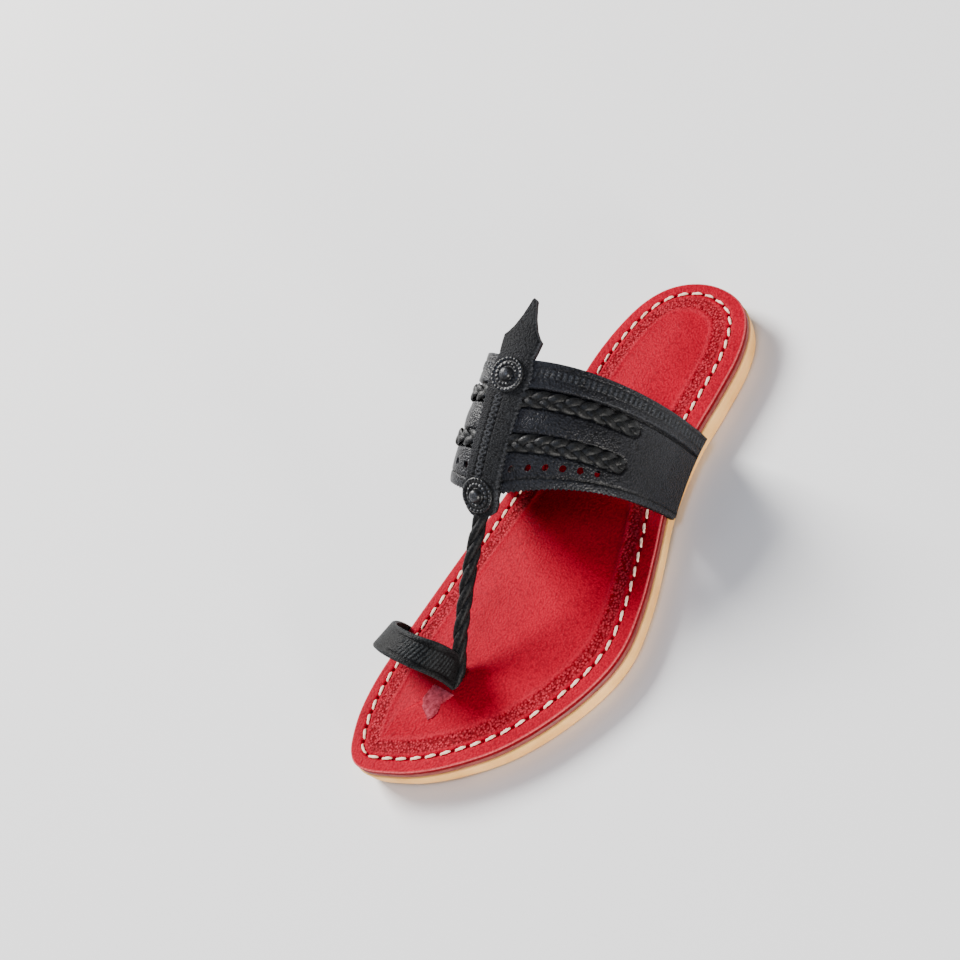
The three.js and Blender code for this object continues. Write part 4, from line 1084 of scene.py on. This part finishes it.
cord_hide = black_hide("twisted_black_lace_leather", 0.6, 0.16, 0.36, 0.08, "#1A1A1B")
put("toe_post", skins, loop_faces(POST_RINGS, POST_SIDES, 3), cord_hide)

# Toe ring
# A flat black strap that arches over the big toe, from beside the toe post down between the
# layers at the inner side. Both edges are creased, with slanting bars stamped between them.
RING_WALL, RING_WIDTH = 2.2, 12.5
RING_RISE = 26.0
RING_ROWS, RING_COLUMNS = 170, 31
RING_BAR_PITCH, RING_BAR_SLANT = 1.9, 0.55
RING_BAR_RISE, RING_BAR_SINK, RING_CREASE_DEPTH = 0.2, 0.12, 0.45
# Front edge then rear edge: place along the sole at the post, rise at the post, place along the
# sole at the foot, share of the rise, forward lean and roundness.
RING_EDGE = np.array([
    (-0.323, 0.5, -0.316, 1.04, 5.0, 0.5),
    (-0.274, 9.0, -0.262, 0.9, 5.5, 0.55),
])


def ring_place(share, width):
    """The ring's outer face: a half turn from the post to the foot, whose height is a power of the
    sine, with its edges mixed by the width share."""
    share, width = np.broadcast_arrays(share, width)
    post_along, post_rise, foot_along, rise, lean, roundness = np.moveaxis(
        RING_EDGE[0] + (RING_EDGE[1] - RING_EDGE[0]) * width[..., None], -1, 0)
    foot_y, post_y = foot_along * SOLE_LENGTH, post_along * SOLE_LENGTH
    foot_x = inset(2 * np.pi - np.arccos(-2 * foot_y / SOLE_LENGTH), -(FOOT_STAND + RING_WALL))[0]
    post_z = insole_top(post_y) + post_rise
    foot_z = outsole_top(foot_y) - TAIL_WALL
    t = (1 - np.cos(np.pi * share)) / 2
    arch = np.clip(np.sin(np.pi * share), 0, 1)
    start_x = POST_FOOT[0] + CORD_RADIUS / 2
    return np.stack([
        start_x + (foot_x - start_x) * t,
        post_y + (foot_y - post_y) * t - lean * arch,
        post_z + (foot_z - post_z) * t + rise * RING_RISE * arch**roundness,
    ], axis=-1)


# Rows at even distances along the middle of the strap.
fine = np.linspace(0, 1, 1201)
run = np.cumsum(np.linalg.norm(np.diff(ring_place(fine, 0.5), axis=0), axis=1))
run = np.concatenate([[0], run])
ring_run = np.linspace(0, run[-1], RING_ROWS)[:, None]
ring_share = np.interp(ring_run, run, fine)
width = np.linspace(0, 1, RING_COLUMNS)[None, :]
face = ring_place(ring_share, width)
around_ring = (ring_place(np.minimum(ring_share + 0.015, 1), width)
               - ring_place(np.maximum(ring_share - 0.015, 0), width))
over = (ring_place(ring_share, np.minimum(width + 0.1, 1))
        - ring_place(ring_share, np.maximum(width - 0.1, 0)))
normal = np.cross(over, around_ring)
normal /= np.linalg.norm(normal, axis=-1, keepdims=True)
stamped = smooth(ring_run, 3, 6) * (1 - smooth(ring_run, 30, 33))
from_edge = np.minimum(width, 1 - width) * RING_WIDTH
creased = smooth(ring_run, 2, 5) * (1 - smooth(ring_run, 36, 40))
crease = np.exp(-((from_edge - 2.5) / 0.3) ** 2) * creased
from_middle = (width - 0.5) * RING_WIDTH
bars = np.sin(2 * np.pi * (ring_run + from_middle * RING_BAR_SLANT) / RING_BAR_PITCH)
between = (1 - smooth(np.abs(from_middle), 3.1, 3.5)) * stamped
rolled = 0.5 * (1 - smooth(from_edge, 0, 0.9)) ** 2
lift = (between * (RING_BAR_RISE * bars - RING_BAR_SINK) - RING_CREASE_DEPTH * crease
        - rolled)
outer = face + normal * lift[..., None]
inner = face - normal * (RING_WALL - 0.3 * rolled)[..., None]
points, faces = wall_between(outer, inner)
# Painted shade in the edge creases and between the stamped bars, painted highlight on the bar tops,
# and wear and painted highlight along the rolled edges.
recess_shade = crease + between * np.clip(-bars, 0, 1)
wear_and_highlight = between * np.clip(bars, 0, 1) + (1 - smooth(from_edge, 0.3, 1.4)) * 0.6
marks = {
    "recess_shade": outer_marks(np.clip(recess_shade, 0, 1), outer.shape[:2]),
    "wear_and_highlight": outer_marks(np.clip(wear_and_highlight, 0, 1), outer.shape[:2]),
}
ring_hide = black_hide("creased_black_ring_leather", 0.6, 0.3, 0.4, 0.06, "#131415", "#383C3E")
put("toe_ring", points, faces, ring_hide, marks)

# Toe tab
# A scrap of red split leather glued on the footbed in front of the toe post, where the cord is
# drawn through. Toes have worn it thin, pale and ragged.
TAB_LENGTH, TAB_WIDTH, TAB_WALL = 13.4, 12.0, 0.8
TAB_ROWS, TAB_COLUMNS = 90, 25
TAB_FRAY = 0.02
# Share of the length from the root, then the left and right edge as shares of the width.
TAB_EDGE = np.array([
    (0.0, -0.71, 0.25), (0.1, -0.73, 0.19), (0.3, -0.76, 0.08), (0.43, -0.79, 0.0),
    (0.53, -0.77, 0.03), (0.65, -0.7, 0.07), (0.76, -0.6, 0.06), (0.84, -0.48, 0.03),
    (0.92, -0.24, -0.03), (1.0, -0.13, -0.09),
])
root_y = POST_FOOT[1] - CORD_RADIUS * 1.8
down = np.linspace(0, 1, TAB_ROWS)[:, None]
sweep = np.linspace(0, 1, TAB_COLUMNS)[None, :]
left, right = (np.interp(down, TAB_EDGE[:, 0], TAB_EDGE[:, k]) for k in (1, 2))
left += TAB_FRAY * np.sin(down * 61) * np.sin(down * 23)
right += TAB_FRAY * np.sin(down * 53 + 1) * np.sin(down * 19)
x = POST_FOOT[0] + (left + (right - left) * sweep) * TAB_WIDTH
y = root_y - down * TAB_LENGTH - 0.35 * np.sin(sweep * 14) * smooth(down, 0.8, 1.0)
from_sides = np.minimum(sweep, 1 - sweep) * (right - left) * TAB_WIDTH
from_rim = np.minimum(from_sides, (1 - down) * TAB_LENGTH)
crumple = 0.16 * np.sin(x * 1.3 + y * 0.7) * np.sin(y * 1.1 - x * 0.4)
thin = TAB_WALL * (0.35 + 0.65 * smooth(from_rim, 0, 0.9))
base = insole_top(y) + 0.6
top = np.stack([x, y, base + thin + crumple], axis=-1)
points, faces = wall_between(top, np.stack([x, y, base], axis=-1))

# Split leather: matt, pinkish where the dye has rubbed off, with loose fibres.
split, tree, shader = new_finish("worn_red_split_leather")
place = add(tree, "ShaderNodeTexCoord").outputs["Object"]
rub = add(tree, "ShaderNodeTexNoise", {"Scale": 420, "Detail": 6, "Roughness": 0.7},
          {"Vector": place})
tone = add(tree, "ShaderNodeValToRGB", links={"Fac": rub.outputs["Fac"]})
set_stops(tone, (0.35, "#66101C"), (0.62, "#A03C4A"))
tree.links.new(tone.outputs["Color"], shader.inputs["Base Color"])
ground = add(tree, "ShaderNodeBump", {"Strength": 0.7, "Distance": 0.0003},
             {"Height": rub.outputs["Fac"]})
tree.links.new(ground.outputs["Normal"], shader.inputs["Normal"])
shader.inputs["Roughness"].default_value = 0.85
shader.inputs["Specular IOR Level"].default_value = 0.12
tab = put("toe_tab_flap", points, faces, split)
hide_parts("toe_tab")
